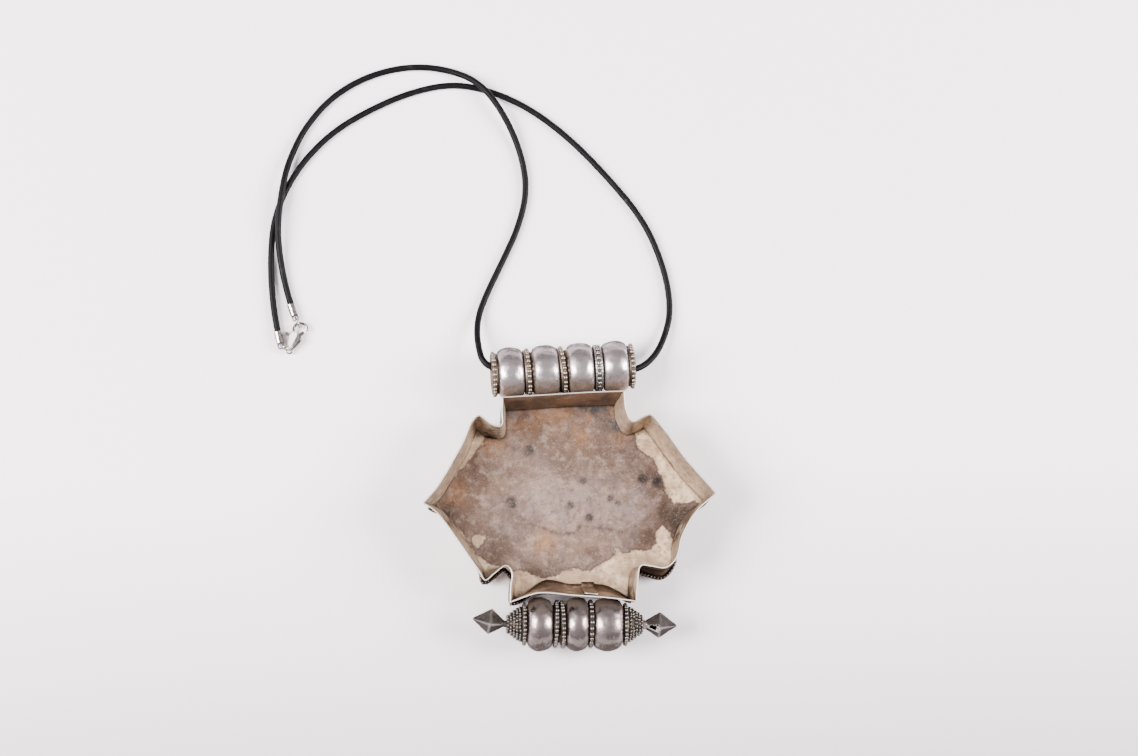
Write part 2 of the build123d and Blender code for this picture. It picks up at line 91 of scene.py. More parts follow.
# Materials
class Shade:
    """A material, its tone so far, and short ways to add nodes to it."""

    def __init__(self, name):
        self.mat = bpy.data.materials.new(name)
        self.mat.use_nodes = True
        self.tree = self.mat.node_tree
        self.tree.nodes.clear()
        self.surface = self.tree.nodes.new("ShaderNodeBsdfPrincipled")
        out = self.tree.nodes.new("ShaderNodeOutputMaterial")
        self.tree.links.new(self.surface.outputs[0], out.inputs[0])
        self.where = self.make("TexCoord", {}, "Object")

    def plug(self, socket, value):
        if isinstance(value, bpy.types.NodeSocket):
            self.tree.links.new(value, socket)
        else:
            socket.default_value = (*value, 1.0) if socket.type == "RGBA" else value

    def make(self, kind, sockets, out=0, **settings):
        """Adds a node, fills its sockets and gives one of its outputs."""
        made = self.tree.nodes.new("ShaderNode" + kind)
        for key, value in settings.items():
            setattr(made, key, value)
        for key, value in sockets.items():
            self.plug(made.inputs[key], value)
        return made.outputs[out]

    def stretched(self, x, y, z):
        return self.make("Mapping", {"Vector": self.where, "Scale": (x, y, z)})

    def noise(self, size, detail=4.0, rough=0.55, where=None, warp=0.0):
        """Noise whose main features are about size millimetres across."""
        return self.make("TexNoise", {"Vector": where or self.where, "Scale": 1.0 / (size * MM),
                                      "Detail": detail, "Roughness": rough, "Distortion": warp})

    def cells(self, size, feature="F1"):
        sockets = {"Vector": self.where, "Scale": 1.0 / (size * MM)}
        return self.make("TexVoronoi", sockets, "Distance", feature=feature)

    def field(self, name):
        return self.make("Attribute", {}, "Fac", attribute_name=name)

    def sum(self, kind, first, second):
        return self.make("Math", {0: first, 1: second}, operation=kind)

    def times(self, first, second):
        return self.sum("MULTIPLY", first, second)

    def plus(self, first, second):
        return self.sum("ADD", first, second)

    def between(self, value, low, high, to_low=0.0, to_high=1.0):
        """A value mapped from one range to another, and held at its ends."""
        return self.make("MapRange", {"Value": value, "From Min": low, "From Max": high, "To Min": to_low,
                                      "To Max": to_high})

    def ramp(self, value, *stops):
        out = self.make("ValToRGB", {0: value})
        elements = out.node.color_ramp.elements
        while len(elements) < len(stops):
            elements.new(0.5)
        for element, (place, colour) in zip(elements, stops):
            element.position = place
            element.color = (*colour, 1.0)
        return out

    def mix(self, share, first, second):
        return self.make("Mix", {"Factor": share, 6: first, 7: second}, 2, data_type="RGBA")

    def lay(self, share, colour):
        """Lays a share of a colour over the tone so far."""
        self.tone = self.mix(share, self.tone, colour)

    def freckles(self, size, wide, patches, low, colour, share):
        """Lays round freckles, one to a cell of a size, where a noise of the size patches is high."""
        dots = self.between(self.cells(size), 0.0, wide, 1.0, 0.0)
        dots = self.times(dots, self.between(self.noise(patches, 2), low, 0.6))
        self.lay(self.times(dots, share), colour)

    def bump(self, height, depth, strength=1.0, normal=None):
        """A bump whose full height is depth millimetres."""
        sockets = {"Height": height, "Distance": depth * MM, "Strength": strength}
        if normal:
            sockets["Normal"] = normal
        return self.make("Bump", sockets)

    def set(self, **values):
        for key, value in {"base_color": self.tone, **values}.items():
            self.plug(self.surface.inputs[key.replace("_", " ").title().replace("Ior", "IOR")], value)
        return self.mat


CREAM = (0.74, 0.54, 0.37)
BUFF = (0.40, 0.255, 0.155)
MAUVE = (0.158, 0.103, 0.086)
ROSE = (0.168, 0.10, 0.071)
UMBER = (0.028, 0.015, 0.009)
AMBER = (0.29, 0.135, 0.058)
SLATE = (0.05, 0.043, 0.043)
SILVER = (0.52, 0.455, 0.465)


def floor_shade():
    """Old sheet silver: violet-brown oxide in layers, rubbed pale patches, spots and scratches."""
    s = Shade("oxidised sheet")
    cloud = s.noise(13, 5, 0.55, warp=0.5)
    layer = s.noise(7, 6, 0.6)
    fine = s.noise(2.2, 6, 0.65)
    grain = s.noise(0.5, 3, 0.6)
    s.tone = s.ramp(cloud, (0.34, (0.105, 0.063, 0.048)), (0.46, MAUVE), (0.57, ROSE),
                    (0.68, (0.13, 0.087, 0.079)))
    s.lay(s.times(s.field("grey"), s.between(layer, 0.3, 0.65, 0.9, 0.25)), (0.245, 0.172, 0.158))
    stain = s.between(s.plus(s.field("brown"), s.between(layer, 0.0, 1.0, -0.8, 0.8)), 0.4, 0.55, 0.0, 0.35)
    stain = s.plus(stain, s.times(s.field("brown"), 0.4))
    s.lay(stain, (0.08, 0.044, 0.029))
    warm = s.times(s.field("warm"), s.between(layer, 0.36, 0.66, 0.9, 0.15))
    s.lay(warm, AMBER)
    s.lay(s.between(fine, 0.46, 0.66, 0.0, 0.7), (0.075, 0.043, 0.03))
    s.lay(s.between(s.noise(3.4, 6, 0.68), 0.5, 0.68, 0.0, 0.6), (0.34, 0.238, 0.19))
    s.lay(s.between(s.noise(0.9, 4, 0.7), 0.52, 0.7, 0.0, 0.35), (0.08, 0.048, 0.035))
    s.lay(s.times(s.field("tide"), s.between(fine, 0.3, 0.6, 0.3, 0.85)), (0.045, 0.027, 0.021))
    s.lay(s.times(s.field("cold"), s.between(fine, 0.3, 0.55)), SLATE)
    # Darker patches in the corners by the wall
    s.lay(s.times(s.field("stains_and_shade"), s.between(fine, 0.25, 0.6, 0.6, 1.0)), UMBER)
    ragged = s.between(s.noise(4.5, 5, 0.6), 0.0, 1.0, -2.6, 2.6)
    tide = s.plus(s.field("clean"), ragged)
    rubbed = s.between(tide, -0.3, 0.45)
    line = s.times(s.between(tide, -0.9, -0.12), s.between(tide, -0.08, 0.15, 1.0, 0.0))
    pale = s.mix(s.between(fine, 0.38, 0.64), CREAM, BUFF)
    pale = s.mix(s.between(layer, 0.42, 0.58, 0.0, 0.8), pale, (0.30, 0.19, 0.115))
    pale = s.mix(s.between(s.noise(1.1, 4, 0.6), 0.54, 0.7, 0.0, 0.7), pale, (0.20, 0.13, 0.085))
    s.lay(rubbed, pale)
    s.lay(s.times(line, 0.5), UMBER)
    s.lay(s.times(s.field("spot"), s.between(fine, 0.3, 0.6, 0.6, 1.0)), (0.02, 0.0145, 0.0135))
    s.freckles(3.1, 0.085, 9, 0.5, (0.09, 0.065, 0.055), 0.7)
    crease = s.between(s.plus(s.field("edge"), s.times(fine, 0.9)), 0.4, 0.95, 1.0, 0.0)
    s.lay(s.times(crease, 0.75), (0.02, 0.014, 0.011))
    s.lay(s.between(grain, 0.55, 0.8, 0.0, 0.2), (0.75, 0.66, 0.6))
    scratch = s.noise(0.35, 2, 0.5, where=s.stretched(0.045, 0.9, 1.0))
    scratch = s.between(scratch, 0.62, 0.72, 0.0, 0.28)
    s.lay(s.times(scratch, rubbed), (0.78, 0.68, 0.58))
    rough = s.plus(s.between(cloud, 0.3, 0.7, 0.40, 0.52), s.times(rubbed, -0.06))
    dents = s.bump(s.noise(6, 3, 0.5), 0.4, 0.9)
    pits = s.bump(fine, 0.05, 0.8, dents)
    return s.set(metallic=s.between(rubbed, 0.0, 1.0, 0.5, 0.3), roughness=rough,
                 normal=s.bump(grain, 0.012, 0.7, pits))


def wall_shade():
    """The wall: brown oxide inside, rubbed pale towards the rim, with stains and painted shade, and a painted
    highlight along the rim's top edge.
    """
    s = Shade("wall sheet")
    cloud = s.noise(7, 6, 0.62, warp=0.5)
    fine = s.noise(1.6, 5, 0.65)
    drawn = s.noise(0.7, 4, 0.6, where=s.stretched(1.0, 1.0, 0.12))
    along = s.noise(0.9, 4, 0.6, where=s.stretched(0.1, 0.1, 1.2))
    s.tone = s.ramp(cloud, (0.32, (0.06, 0.038, 0.027)), (0.48, (0.12, 0.077, 0.053)),
                    (0.6, (0.23, 0.138, 0.086)), (0.72, (0.10, 0.076, 0.065)))
    pale = s.mix(s.between(fine, 0.36, 0.66), (0.48, 0.365, 0.265), (0.235, 0.16, 0.105))
    pale = s.mix(s.between(along, 0.56, 0.7, 0.0, 0.5), pale, (0.16, 0.108, 0.07))
    tide = s.plus(s.field("clean"), s.between(cloud, 0.3, 0.7, -0.32, 0.32))
    s.lay(s.between(tide, 0.42, 0.55), pale)
    s.lay(s.between(drawn, 0.56, 0.74, 0.0, 0.3), (0.50, 0.41, 0.34))
    # Near black, without metal or gloss, over the stains and the painted shade
    stained_and_shaded = s.times(s.field("stains_and_shade"), s.between(fine, 0.3, 0.6, 0.75, 1.0))
    s.lay(stained_and_shaded, (0.014, 0.0095, 0.007))
    # Painted highlight: the rim's top edge lightened to bright silver
    s.lay(s.field("rim"), (0.52, 0.465, 0.44))
    rough = s.between(cloud, 0.3, 0.7, 0.36, 0.48)
    dents = s.bump(s.noise(4, 3, 0.5), 0.25, 0.8)
    return s.set(metallic=s.between(stained_and_shaded, 0.0, 0.6, 0.7, 0.0), roughness=rough,
                 specular_ior_level=s.between(stained_and_shaded, 0.0, 0.6, 0.3, 0.0),
                 normal=s.bump(along, 0.03, 0.7, dents))


def barrel_shade(name, shine, dull, brown, far):
    """Rubbed silver: soft shine on the crown, brown tarnish with painted shade on the box's side, painted shade
    on the far side, and brown tarnish in the grooves.
    """
    s = Shade(name)
    cloud = s.noise(3.0, 5, 0.62, warp=0.7)
    fine = s.noise(0.8, 4, 0.6)
    hair = s.noise(0.3, 4, 0.6, where=s.stretched(1.0, 0.12, 0.12))
    s.tone = s.mix(s.between(cloud, 0.36, 0.64), shine, dull)
    # Brown on the box's side: tarnish and painted shade
    toned_and_shaded = s.plus(s.field("toning_and_shade"), s.between(cloud, 0.3, 0.7, -0.28, 0.28))
    s.lay(s.between(toned_and_shaded, 0.3, 0.8, 0.0, 0.9), brown)
    # Painted shade on the side away from the box: dark, with little metal or gloss
    shaded = s.between(s.plus(s.field("far"), s.between(cloud, 0.3, 0.7, -0.2, 0.2)), 0.2, 0.75, 0.0, 0.95)
    s.lay(shaded, far)
    s.lay(s.between(hair, 0.54, 0.7, 0.0, 0.35), dull)
    groove = s.between(s.plus(s.field("groove"), s.between(fine, 0.3, 0.7, -0.2, 0.2)), 0.4, 0.9)
    s.lay(groove, (0.16, 0.115, 0.088))
    s.freckles(1.9, 0.09, 4, 0.48, (0.16, 0.12, 0.1), 0.6)
    rough = s.plus(s.between(cloud, 0.3, 0.7, 0.25, 0.38), s.times(s.sum("MAXIMUM", groove, shaded), 0.22))
    dents = s.bump(s.noise(2.2, 3, 0.5), 0.16, 0.8)
    metal = s.sum("MINIMUM", s.between(toned_and_shaded, 0.3, 0.9, 1.0, 0.5), s.between(shaded, 0.1, 0.8, 1.0, 0.0))
    return s.set(metallic=metal, roughness=rough,
                 specular_ior_level=s.between(shaded, 0.1, 0.8, 0.3, 0.03),
                 normal=s.bump(hair, 0.012, 0.6, dents))


def beaded_shade(name, high, low):
    """Beadwork: bright on the worn tops, black between."""
    s = Shade(name)
    fine = s.noise(0.5, 4, 0.6)
    cloud = s.noise(2.5, 4, 0.6)
    top = s.plus(s.field("top"), s.between(fine, 0.3, 0.7, -0.16, 0.16))
    s.tone = s.mix(s.between(top, 0.35, 0.8), low, high)
    s.lay(s.between(cloud, 0.52, 0.68, 0.0, 0.5), (0.20, 0.14, 0.095))
    rough = s.between(top, 0.3, 0.85, 0.62, 0.3)
    return s.set(metallic=0.9, roughness=rough, normal=s.bump(fine, 0.03, 0.7))


def dull_shade(name, tone_a, tone_b, metallic, rough_low, rough_high, size=1.6, depth=0.05):
    """A mottled finish between two tones, with fine pits."""
    s = Shade(name)
    cloud = s.noise(size * 2.2, 5, 0.6, warp=0.4)
    fine = s.noise(size * 0.35, 4, 0.6)
    s.tone = s.mix(s.between(cloud, 0.34, 0.66), tone_a, tone_b)
    s.lay(s.between(fine, 0.6, 0.75, 0.0, 0.45), tone_a)
    rough = s.between(fine, 0.3, 0.7, rough_low, rough_high)
    return s.set(metallic=metallic, roughness=rough, normal=s.bump(fine, depth, 0.6))


def finial_shade():
    """Grey silver, pitted, with painted shade on the facets that face south, and bright lips where the sheet is
    torn.
    """
    s = Shade("grey silver")
    cloud = s.noise(3.4, 5, 0.6, warp=0.4)
    fine = s.noise(0.6, 4, 0.6)
    s.tone = s.mix(s.between(cloud, 0.34, 0.66), (0.115, 0.10, 0.093), (0.06, 0.051, 0.047))
    # Painted shade on the south-facing facets: dark, without metal or gloss
    s.lay(s.between(s.field("south"), 0.1, 0.6, 0.0, 0.92), (0.034, 0.0295, 0.0285))
    s.lay(s.times(s.field("ridge"), s.between(fine, 0.3, 0.6, 0.9, 0.4)), (0.30, 0.275, 0.26))
    s.lay(s.field("torn"), (0.42, 0.385, 0.365))
    rough = s.between(fine, 0.3, 0.7, 0.24, 0.36)
    return s.set(metallic=s.between(s.field("south"), 0.1, 0.6, 0.9, 0.0), roughness=rough,
                 specular_ior_level=s.between(s.field("south"), 0.1, 0.6, 0.4, 0.0),
                 normal=s.bump(fine, 0.05, 0.6))


def leather_shade():
    """Black round leather with a waxed skin, fine grain and grey scuffs."""
    s = Shade("black leather")
    grain = s.cells(0.24)
    scuff = s.noise(1.4, 5, 0.65)
    long_mark = s.noise(3.0, 4, 0.6)
    s.tone = s.mix(s.between(scuff, 0.5, 0.72, 0.0, 0.55), (0.0018, 0.0015, 0.0021), (0.0065, 0.0058, 0.0072))
    s.lay(s.between(long_mark, 0.62, 0.74, 0.0, 0.5), (0.03, 0.028, 0.031))
    rough = s.between(scuff, 0.3, 0.7, 0.42, 0.6)
    skin = s.bump(grain, 0.02, 0.5)
    return s.set(metallic=0.0, roughness=rough, specular_ior_level=0.09,
                 normal=s.bump(scuff, 0.03, 0.5, skin))


def stone_shade(name, body, vein, dark):
    """A polished cabochon with clouding and a dark web of veins."""
    s = Shade(name)
    cloud = s.noise(2.5, 6, 0.6, warp=1.0)
    web = s.between(s.cells(2.2, "DISTANCE_TO_EDGE"), 0.0, 0.06, 1.0, 0.0)
    s.tone = s.mix(s.between(cloud, 0.35, 0.65), body, vein)
    s.lay(s.times(web, s.between(cloud, 0.4, 0.6)), dark)
    return s.set(metallic=0.0, roughness=s.between(cloud, 0.3, 0.7, 0.12, 0.22))


def bright_shade(name, edged=False):
    """Plated metal: bright, mottled greyer, with faint tumbling marks and, if edged, a painted highlight on one
    facet and painted shade along the edges.
    """
    s = Shade(name)
    cloud = s.noise(1.2, 4, 0.6)
    fine = s.noise(0.18, 3, 0.6)
    s.tone = s.mix(s.between(cloud, 0.35, 0.7), (0.46, 0.415, 0.395), (0.24, 0.205, 0.188))
    if edged:
        # Painted highlight: a near-white facet with little metal
        s.lay(s.field("facet"), (0.95, 0.92, 0.90))
        # Painted shade along the edges and in the slot
        s.lay(s.field("edge"), (0.045, 0.035, 0.03))
    rough = s.between(fine, 0.3, 0.7, 0.14, 0.26)
    metal = s.between(s.field("facet"), 0.0, 1.0, 1.0, 0.3) if edged else 1.0
    return s.set(metallic=metal, roughness=rough, normal=s.bump(fine, 0.008, 0.5))


def table_shade():
    """A pale board with painted shade: greyer towards the foot of the picture and far away."""
    s = Shade("pale board")
    cloud = s.noise(120, 4, 0.5)
    fibre = s.noise(0.8, 4, 0.6)
    s.tone = s.mix(s.between(cloud, 0.3, 0.7), (0.95, 0.875, 0.925), (0.935, 0.86, 0.91))
    s.lay(s.between(fibre, 0.4, 0.7, 0.0, 0.15), (0.90, 0.83, 0.875))
    north = s.make("SeparateXYZ", {0: s.where}, "Y")
    # Painted shade towards the foot of the picture
    s.lay(s.between(north, -0.10, 0.01, 0.9, 0.0), (0.38, 0.335, 0.35))
    reach = s.make("VectorMath", {0: s.where}, "Value", operation="LENGTH")
    # Painted shade far from the middle
    s.lay(s.between(reach, 0.28, 0.9, 0.0, 0.8), (0.25, 0.235, 0.24))
    return s.set(roughness=s.between(fibre, 0.3, 0.7, 0.62, 0.72), normal=s.bump(fibre, 0.01, 0.3))


FLOOR_MAT = floor_shade()
WALL_MAT = wall_shade()
# The last colour of each barrel finish is the painted shade of its far side
HANGER_MAT = barrel_shade("rubbed silver", SILVER, (0.37, 0.31, 0.325), (0.12, 0.074, 0.043),
                          (0.045, 0.033, 0.032))
FOOT_MAT = barrel_shade("dulled silver", (0.31, 0.255, 0.25), (0.20, 0.16, 0.155), (0.10, 0.064, 0.042),
                        (0.032, 0.024, 0.0225))
HOOP_MAT = beaded_shade("beaded hoops", (0.22, 0.18, 0.148), (0.065, 0.048, 0.037))
FOOT_HOOP_MAT = beaded_shade("grey beaded hoops", (0.135, 0.117, 0.107), (0.034, 0.027, 0.024))
CORDED_MAT = beaded_shade("corded band", (0.27, 0.25, 0.237), (0.06, 0.05, 0.045))
CONE_MAT = beaded_shade("granulation", (0.105, 0.093, 0.086), (0.03, 0.024, 0.021))
BASE_WIRE_MAT = beaded_shade("beaded wire", (0.055, 0.044, 0.037), (0.015, 0.012, 0.01))
FINIAL_MAT = finial_shade()
SADDLE_MAT = dull_shade("soldered strip", (0.30, 0.22, 0.165), (0.16, 0.11, 0.08), 0.8, 0.4, 0.55)
BEZEL_MAT = dull_shade("bezel silver", (0.62, 0.57, 0.53), (0.38, 0.32, 0.28), 1.0, 0.24, 0.4, 0.8, 0.02)
LEATHER_MAT = leather_shade()
TURQUOISE_MAT = stone_shade("turquoise", (0.10, 0.42, 0.40), (0.22, 0.52, 0.45), (0.05, 0.045, 0.035))
CORAL_MAT = stone_shade("coral", (0.48, 0.075, 0.045), (0.60, 0.14, 0.085), (0.20, 0.03, 0.02))
BRIGHT_MAT = bright_shade("bright plate")
CLASP_MAT = bright_shade("clasp plate", edged=True)
TORN_MAT = dull_shade("torn edge", (0.85, 0.83, 0.81), (0.55, 0.51, 0.49), 1.0, 0.25, 0.4, 0.6, 0.02)


# Making pieces
def build(name, verts, faces, material, stands_for=(), fields=None, body="pendant", smooth=True):
    """A mesh piece from points in millimetres, with one float field per point where fields has them."""
    mesh = bpy.data.meshes.new(name)
    mesh.from_pydata([(x * MM, y * MM, z * MM) for x, y, z in verts], [], faces)
    for field, values in (fields or {}).items():
        mesh.attributes.new(field, "FLOAT", "POINT").data.foreach_set("value", values)
    shell = bmesh.new()
    shell.from_mesh(mesh)
    bmesh.ops.delete(shell, geom=[v for v in shell.verts if not v.link_faces], context="VERTS")
    bmesh.ops.recalc_face_normals(shell, faces=shell.faces)
    shell.to_mesh(mesh)
    shell.free()
    mesh.polygons.foreach_set("use_smooth", [smooth] * len(mesh.polygons))
    mesh.materials.append(material)
    made = bpy.data.objects.new(name, mesh)
    bpy.context.scene.collection.objects.link(made)
    if stands_for:
        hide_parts(*stands_for)
    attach(made, body)
    return made


def smooth_run(points, per_span=14):
    """Points on a smooth curve through the given points, which it starts and ends at."""
    ends = [Vector(p) for p in points]
    ends = [ends[0] * 2 - ends[1]] + ends + [ends[-1] * 2 - ends[-2]]
    made = []
    for p0, p1, p2, p3 in zip(ends, ends[1:], ends[2:], ends[3:]):
        t1 = math.sqrt((p1 - p0).length)
        t2 = t1 + math.sqrt((p2 - p1).length)
        t3 = t2 + math.sqrt((p3 - p2).length)
        for k in range(per_span):
            t = t1 + (t2 - t1) * k / per_span
            a = p0.lerp(p1, t / t1)
            b = p1.lerp(p2, (t - t1) / (t2 - t1))
            c = p2.lerp(p3, (t - t2) / (t3 - t2))
            ab = a.lerp(b, t / t2)
            bc = b.lerp(c, (t - t1) / (t3 - t1))
            made.append(ab.lerp(bc, (t - t1) / (t2 - t1)))
    made.append(ends[-2])
    return made


def even(points, step, count=0):
    """The same line with points about step apart, or with count spans."""
    lengths = [0.0]
    for a, b in zip(points, points[1:]):
        lengths.append(lengths[-1] + (b - a).length)
    count = count or max(2, round(lengths[-1] / step))
    made = []
    i = 0
    for k in range(count + 1):
        goal = lengths[-1] * k / count
        while i < len(points) - 2 and lengths[i + 1] < goal:
            i += 1
        span = lengths[i + 1] - lengths[i]
        made.append(points[i].lerp(points[i + 1], (goal - lengths[i]) / span if span else 0.0))
    return made


def part_way(a, b, share):
    return a + (b - a) * share


def turn(k, count):
    """The angle of step k when a whole turn has count steps."""
    return 2 * math.pi * k / count


def quads(rows, per, first=0, closed=True):
    """Faces over rows of per points in a ring; closed joins the last row to the first."""
    made = []
    for a in range(rows if closed else rows - 1):
        here, after = first + a * per, first + (a + 1) % rows * per
        for k in range(per):
            m = (k + 1) % per
            made.append([here + k, after + k, after + m, here + m])
    return made


def ripple(x, y, z, size, rise):
    """Hammer marks: noise of a size in each direction and of a height."""
    return noise.noise((x / size[0], y / size[1], z / size[2])) * rise


def hold(value, low=0.0, high=1.0):
    return max(low, min(high, value))


def blobs(x, y, places):
    return hold(sum(math.exp(-((x - px) ** 2 + (y - py) ** 2) / (pr * pr)) for px, py, pr in places))


def sphere(detail):
    """Points and faces of a ball of radius one."""
    ball = bmesh.new()
    bmesh.ops.create_icosphere(ball, subdivisions=detail, radius=1.0)
    points = [v.co.copy() for v in ball.verts]
    faces = [[v.index for v in f.verts] for f in ball.faces]
    ball.free()
    return points, faces


FINE_BALL = sphere(3)
SMALL_BALL = sphere(2)


def add_ball(verts, faces, tops, ball, centre, sizes, axes, outward):
    """A bead at centre, stretched along three axes; tops says how far each point faces outward."""
    start = len(verts)
    for p in ball[0]:
        offset = axes[0] * (p.x * sizes[0]) + axes[1] * (p.y * sizes[1]) + axes[2] * (p.z * sizes[2])
        verts.append(centre + offset)
        facing = (axes[0] * p.x + axes[1] * p.y + axes[2] * p.z).dot(outward)
        tops.append(hold(0.5 + 0.5 * facing))
    faces.extend([start + i for i in f] for f in ball[1])


# Cord: one leather thong from cap A through the hanger to cap B, on the route that its solid has
CORD = [
    (-86.228, 51.953, 1.25), (-87.405, 58.010, 1.25), (-88.4, 68.5, 1.0), (-88.4, 80.0, 1.0),
    (-87.1, 90.5, 1.0), (-83.2, 100.3, 1.0), (-76.8, 109.8, 1.0), (-67.5, 118.6, 1.0), (-55.6, 125.3, 1.0),
    (-43.0, 130.5, 1.0), (-29.8, 132.9, 1.0), (-17.0, 129.8, 1.0), (-5.0, 123.4, 1.0), (6.6, 113.6, 1.0),
    (17.8, 101.0, 1.0), (28.4, 87.0, 1.0), (34.0, 71.5, 1.0), (35.4, 58.5, 1.1), (32.6, 49.3, 2.4),
    (29.2, 43.6, 4.6), (25.2, 40.0, 6.8), (20.6, 38.6, 7.8), (13.0, 38.8, 7.8), (0.5, 39.4, 7.9),
    (-13.0, 39.4, 8.0), (-21.2, 40.3, 8.2), (-24.4, 43.0, 7.7), (-25.3, 47.3, 6.4), (-25.6, 53.0, 3.6),
    (-24.6, 59.0, 1.6), (-21.6, 66.0, 1.0), (-16.6, 75.5, 1.0), (-11.0, 86.8, 1.0), (-8.0, 98.8, 1.0),
    (-10.0, 111.5, 1.4), (-15.4, 123.6, 3.3), (-22.4, 133.0, 3.3), (-33.0, 137.7, 1.4), (-44.6, 138.7, 1.0),
    (-57.0, 135.8, 1.0), (-68.2, 129.4, 1.0), (-76.6, 120.0, 1.0), (-81.4, 110.5, 1.6), (-83.9, 102.5, 3.3),
    (-86.2, 88.0, 3.3), (-85.5, 77.0, 1.6), (-83.513, 66.389, 1.25), (-81.709, 60.488, 1.25),
]
line = bpy.data.curves.new("leather_thong", "CURVE")
line.dimensions = "3D"
line.bevel_depth = 1.0 * MM
line.bevel_resolution = 6
line.resolution_u = 10
line.use_fill_caps = True
run = line.splines.new("NURBS")
run.points.add(len(CORD) - 1)
for point, (x, y, z) in zip(run.points, CORD):
    point.co = (x * MM, y * MM, z * MM, 1.0)
run.order_u = 3
run.use_endpoint_u = True
line.materials.append(LEATHER_MAT)
thong = bpy.data.objects.new("leather_thong", line)
bpy.context.scene.collection.objects.link(thong)
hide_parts("leather_cord")
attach(thong, "pendant")

# Rim of the wall, clockwise from the top left corner, in runs that meet at corners, about the box's centre.
# The third number of a point is how far the wall's foot stands inside the rim there.
TOP_LEFT, TOP_RIGHT = (-19.4, 31.4), (17.9, 32.3)
TIP_RIGHT, FOOT_RIGHT = (44.6, 0.0), (18.9, -32.1)
FOOT_LEFT, TIP_LEFT = (-19.4, -31.2), (-44.6, -0.3)
RIM_RUNS = (
    (TOP_LEFT, (6.1, 32.2, 1.5), TOP_RIGHT),
    (TOP_RIGHT, (18.4, 26.0, 1.6), (20.0, 22.9, 1.6), (22.8, 24.1, 1.6), (25.5, 24.9, 1.7), (29.2, 20.8, 1.8),
     (35.7, 11.0, 1.8), TIP_RIGHT),
    (TIP_RIGHT, (38.0, -5.6, 1.4), (33.5, -12.8, 0.9), (31.5, -19.2, -0.3), (28.1, -22.1, -0.9),
     (23.4, -21.5, -0.3), (20.6, -21.3, 0.8), (19.6, -25.7, 1.2), FOOT_RIGHT),
    (FOOT_RIGHT, (10.4, -30.7), (-0.1, -29.6), (-10.5, -28.6), (-14.3, -29.5), FOOT_LEFT),
    (FOOT_LEFT, (-19.1, -26.2, 1.5), (-18.5, -22.0, 1.3), (-19.9, -20.0, 1.0), (-23.4, -22.2, 0.7),
     (-26.4, -24.3, 1.5), (-28.7, -20.7, 2.4), (-34.6, -11.5, 3.0), (-40.8, -3.0, 3.0), TIP_LEFT),
    (TIP_LEFT, (-40.1, 4.6, 1.8), (-31.9, 17.8, 1.8), (-28.9, 24.2, 1.6), (-26.5, 26.1, 1.5),
     (-22.7, 23.2, 1.5), (-20.1, 22.6, 1.5), (-19.7, 27.0, 1.5), TOP_LEFT),
)
FOOT_RUN = 3
FOOT_CORNERS = ((-18.0, 30.0), (16.5, 30.7), (42.8, -0.2), (18.1, -30.0), (-17.7, -29.6), (-41.4, 0.2))
# Crease of the pushed-in bottom wall on the floor, seen from outside
FOOT_EDGE = (FOOT_CORNERS[3], (14.5, -27.5), (10.6, -25.6), (4.0, -25.1), (0.0, -24.9), (-7.1, -23.4),
             (-10.5, -25.1), (-14.6, -28.5), FOOT_CORNERS[4])
WALL_STEP = 0.75
WALL_ROWS = 14
FOLD = 0.55


def foot_points(index):
    """The line of the wall's foot under one run of the rim."""
    if index == FOOT_RUN:
        return FOOT_EDGE
    made = [Vector(FOOT_CORNERS[index])]
    points = RIM_RUNS[index]
    for before, (x, y, inset), after in zip(points, points[1:], points[2:]):
        ahead = (Vector(after[:2]) - Vector(before[:2])).normalized()
        made.append(Vector((x, y)) - Vector((-ahead.y, ahead.x)) * inset)
    made.append(Vector(FOOT_CORNERS[(index + 1) % len(FOOT_CORNERS)]))
    return made


rim_line, foot_line, run_of = [], [], []
for number, points in enumerate(RIM_RUNS):
    over = even(smooth_run([p[:2] for p in points]), WALL_STEP)
    under = even(smooth_run(foot_points(number)), WALL_STEP, len(over) - 1)
    for above, below in zip(over[:-1], under):
        rim_line.append(Vector((above.x, above.y + BOX_Y)))
        foot_line.append(Vector((below.x, below.y + BOX_Y)))
        run_of.append(number)
COUNT = len(rim_line)


def outward(line):
    """The outward direction at each point of a closed clockwise line."""
    made = []
    for i in range(len(line)):
        ahead = (line[(i + 1) % len(line)] - line[i - 1]).normalized()
        made.append(Vector((-ahead.y, ahead.x)))
    return made


def wall_point(i, share):
    """The wall's outer face at point i, from foot 0 to rim 1; the bottom run folds over the tube."""
    lean = share**FOLD if run_of[i] == FOOT_RUN else share
    flat = foot_line[i].lerp(rim_line[i], lean)
    return flat.x, flat.y, FLOOR_Z + (RIM_Z - FLOOR_Z) * share


rim_out, foot_out = outward(rim_line), outward(foot_line)
# How clean each run is inside and outside, the runs painted in shade outside, and stains inside
CLEAN_INSIDE = (0.05, 0.72, 0.32, 0.30, 0.42, 0.60)
CLEAN_OUTSIDE = (0.5, 0.6, -0.2, -0.2, 0.75, 0.6)
SHADED_RUNS, SHADED = (2, FOOT_RUN), 0.8
WALL_STAINS = ((-25.5, -22, 4), (27.5, -20.5, 4.5), (-22, 23, 3.5), (-41, 0, 4.5), (39, -3, 4),
               (17.5, -28, 3.5), (33, -11, 4))
WALL_BROAD, WALL_SMALL = ((13, 13, 11), 0.5), ((4.5, 4.5, 5), 0.12)
WALL_HOLLOW = 0.25
RIM_SHEET, RIM_FROM, RIM_ROUND = 0.4, 0.988, 0.998
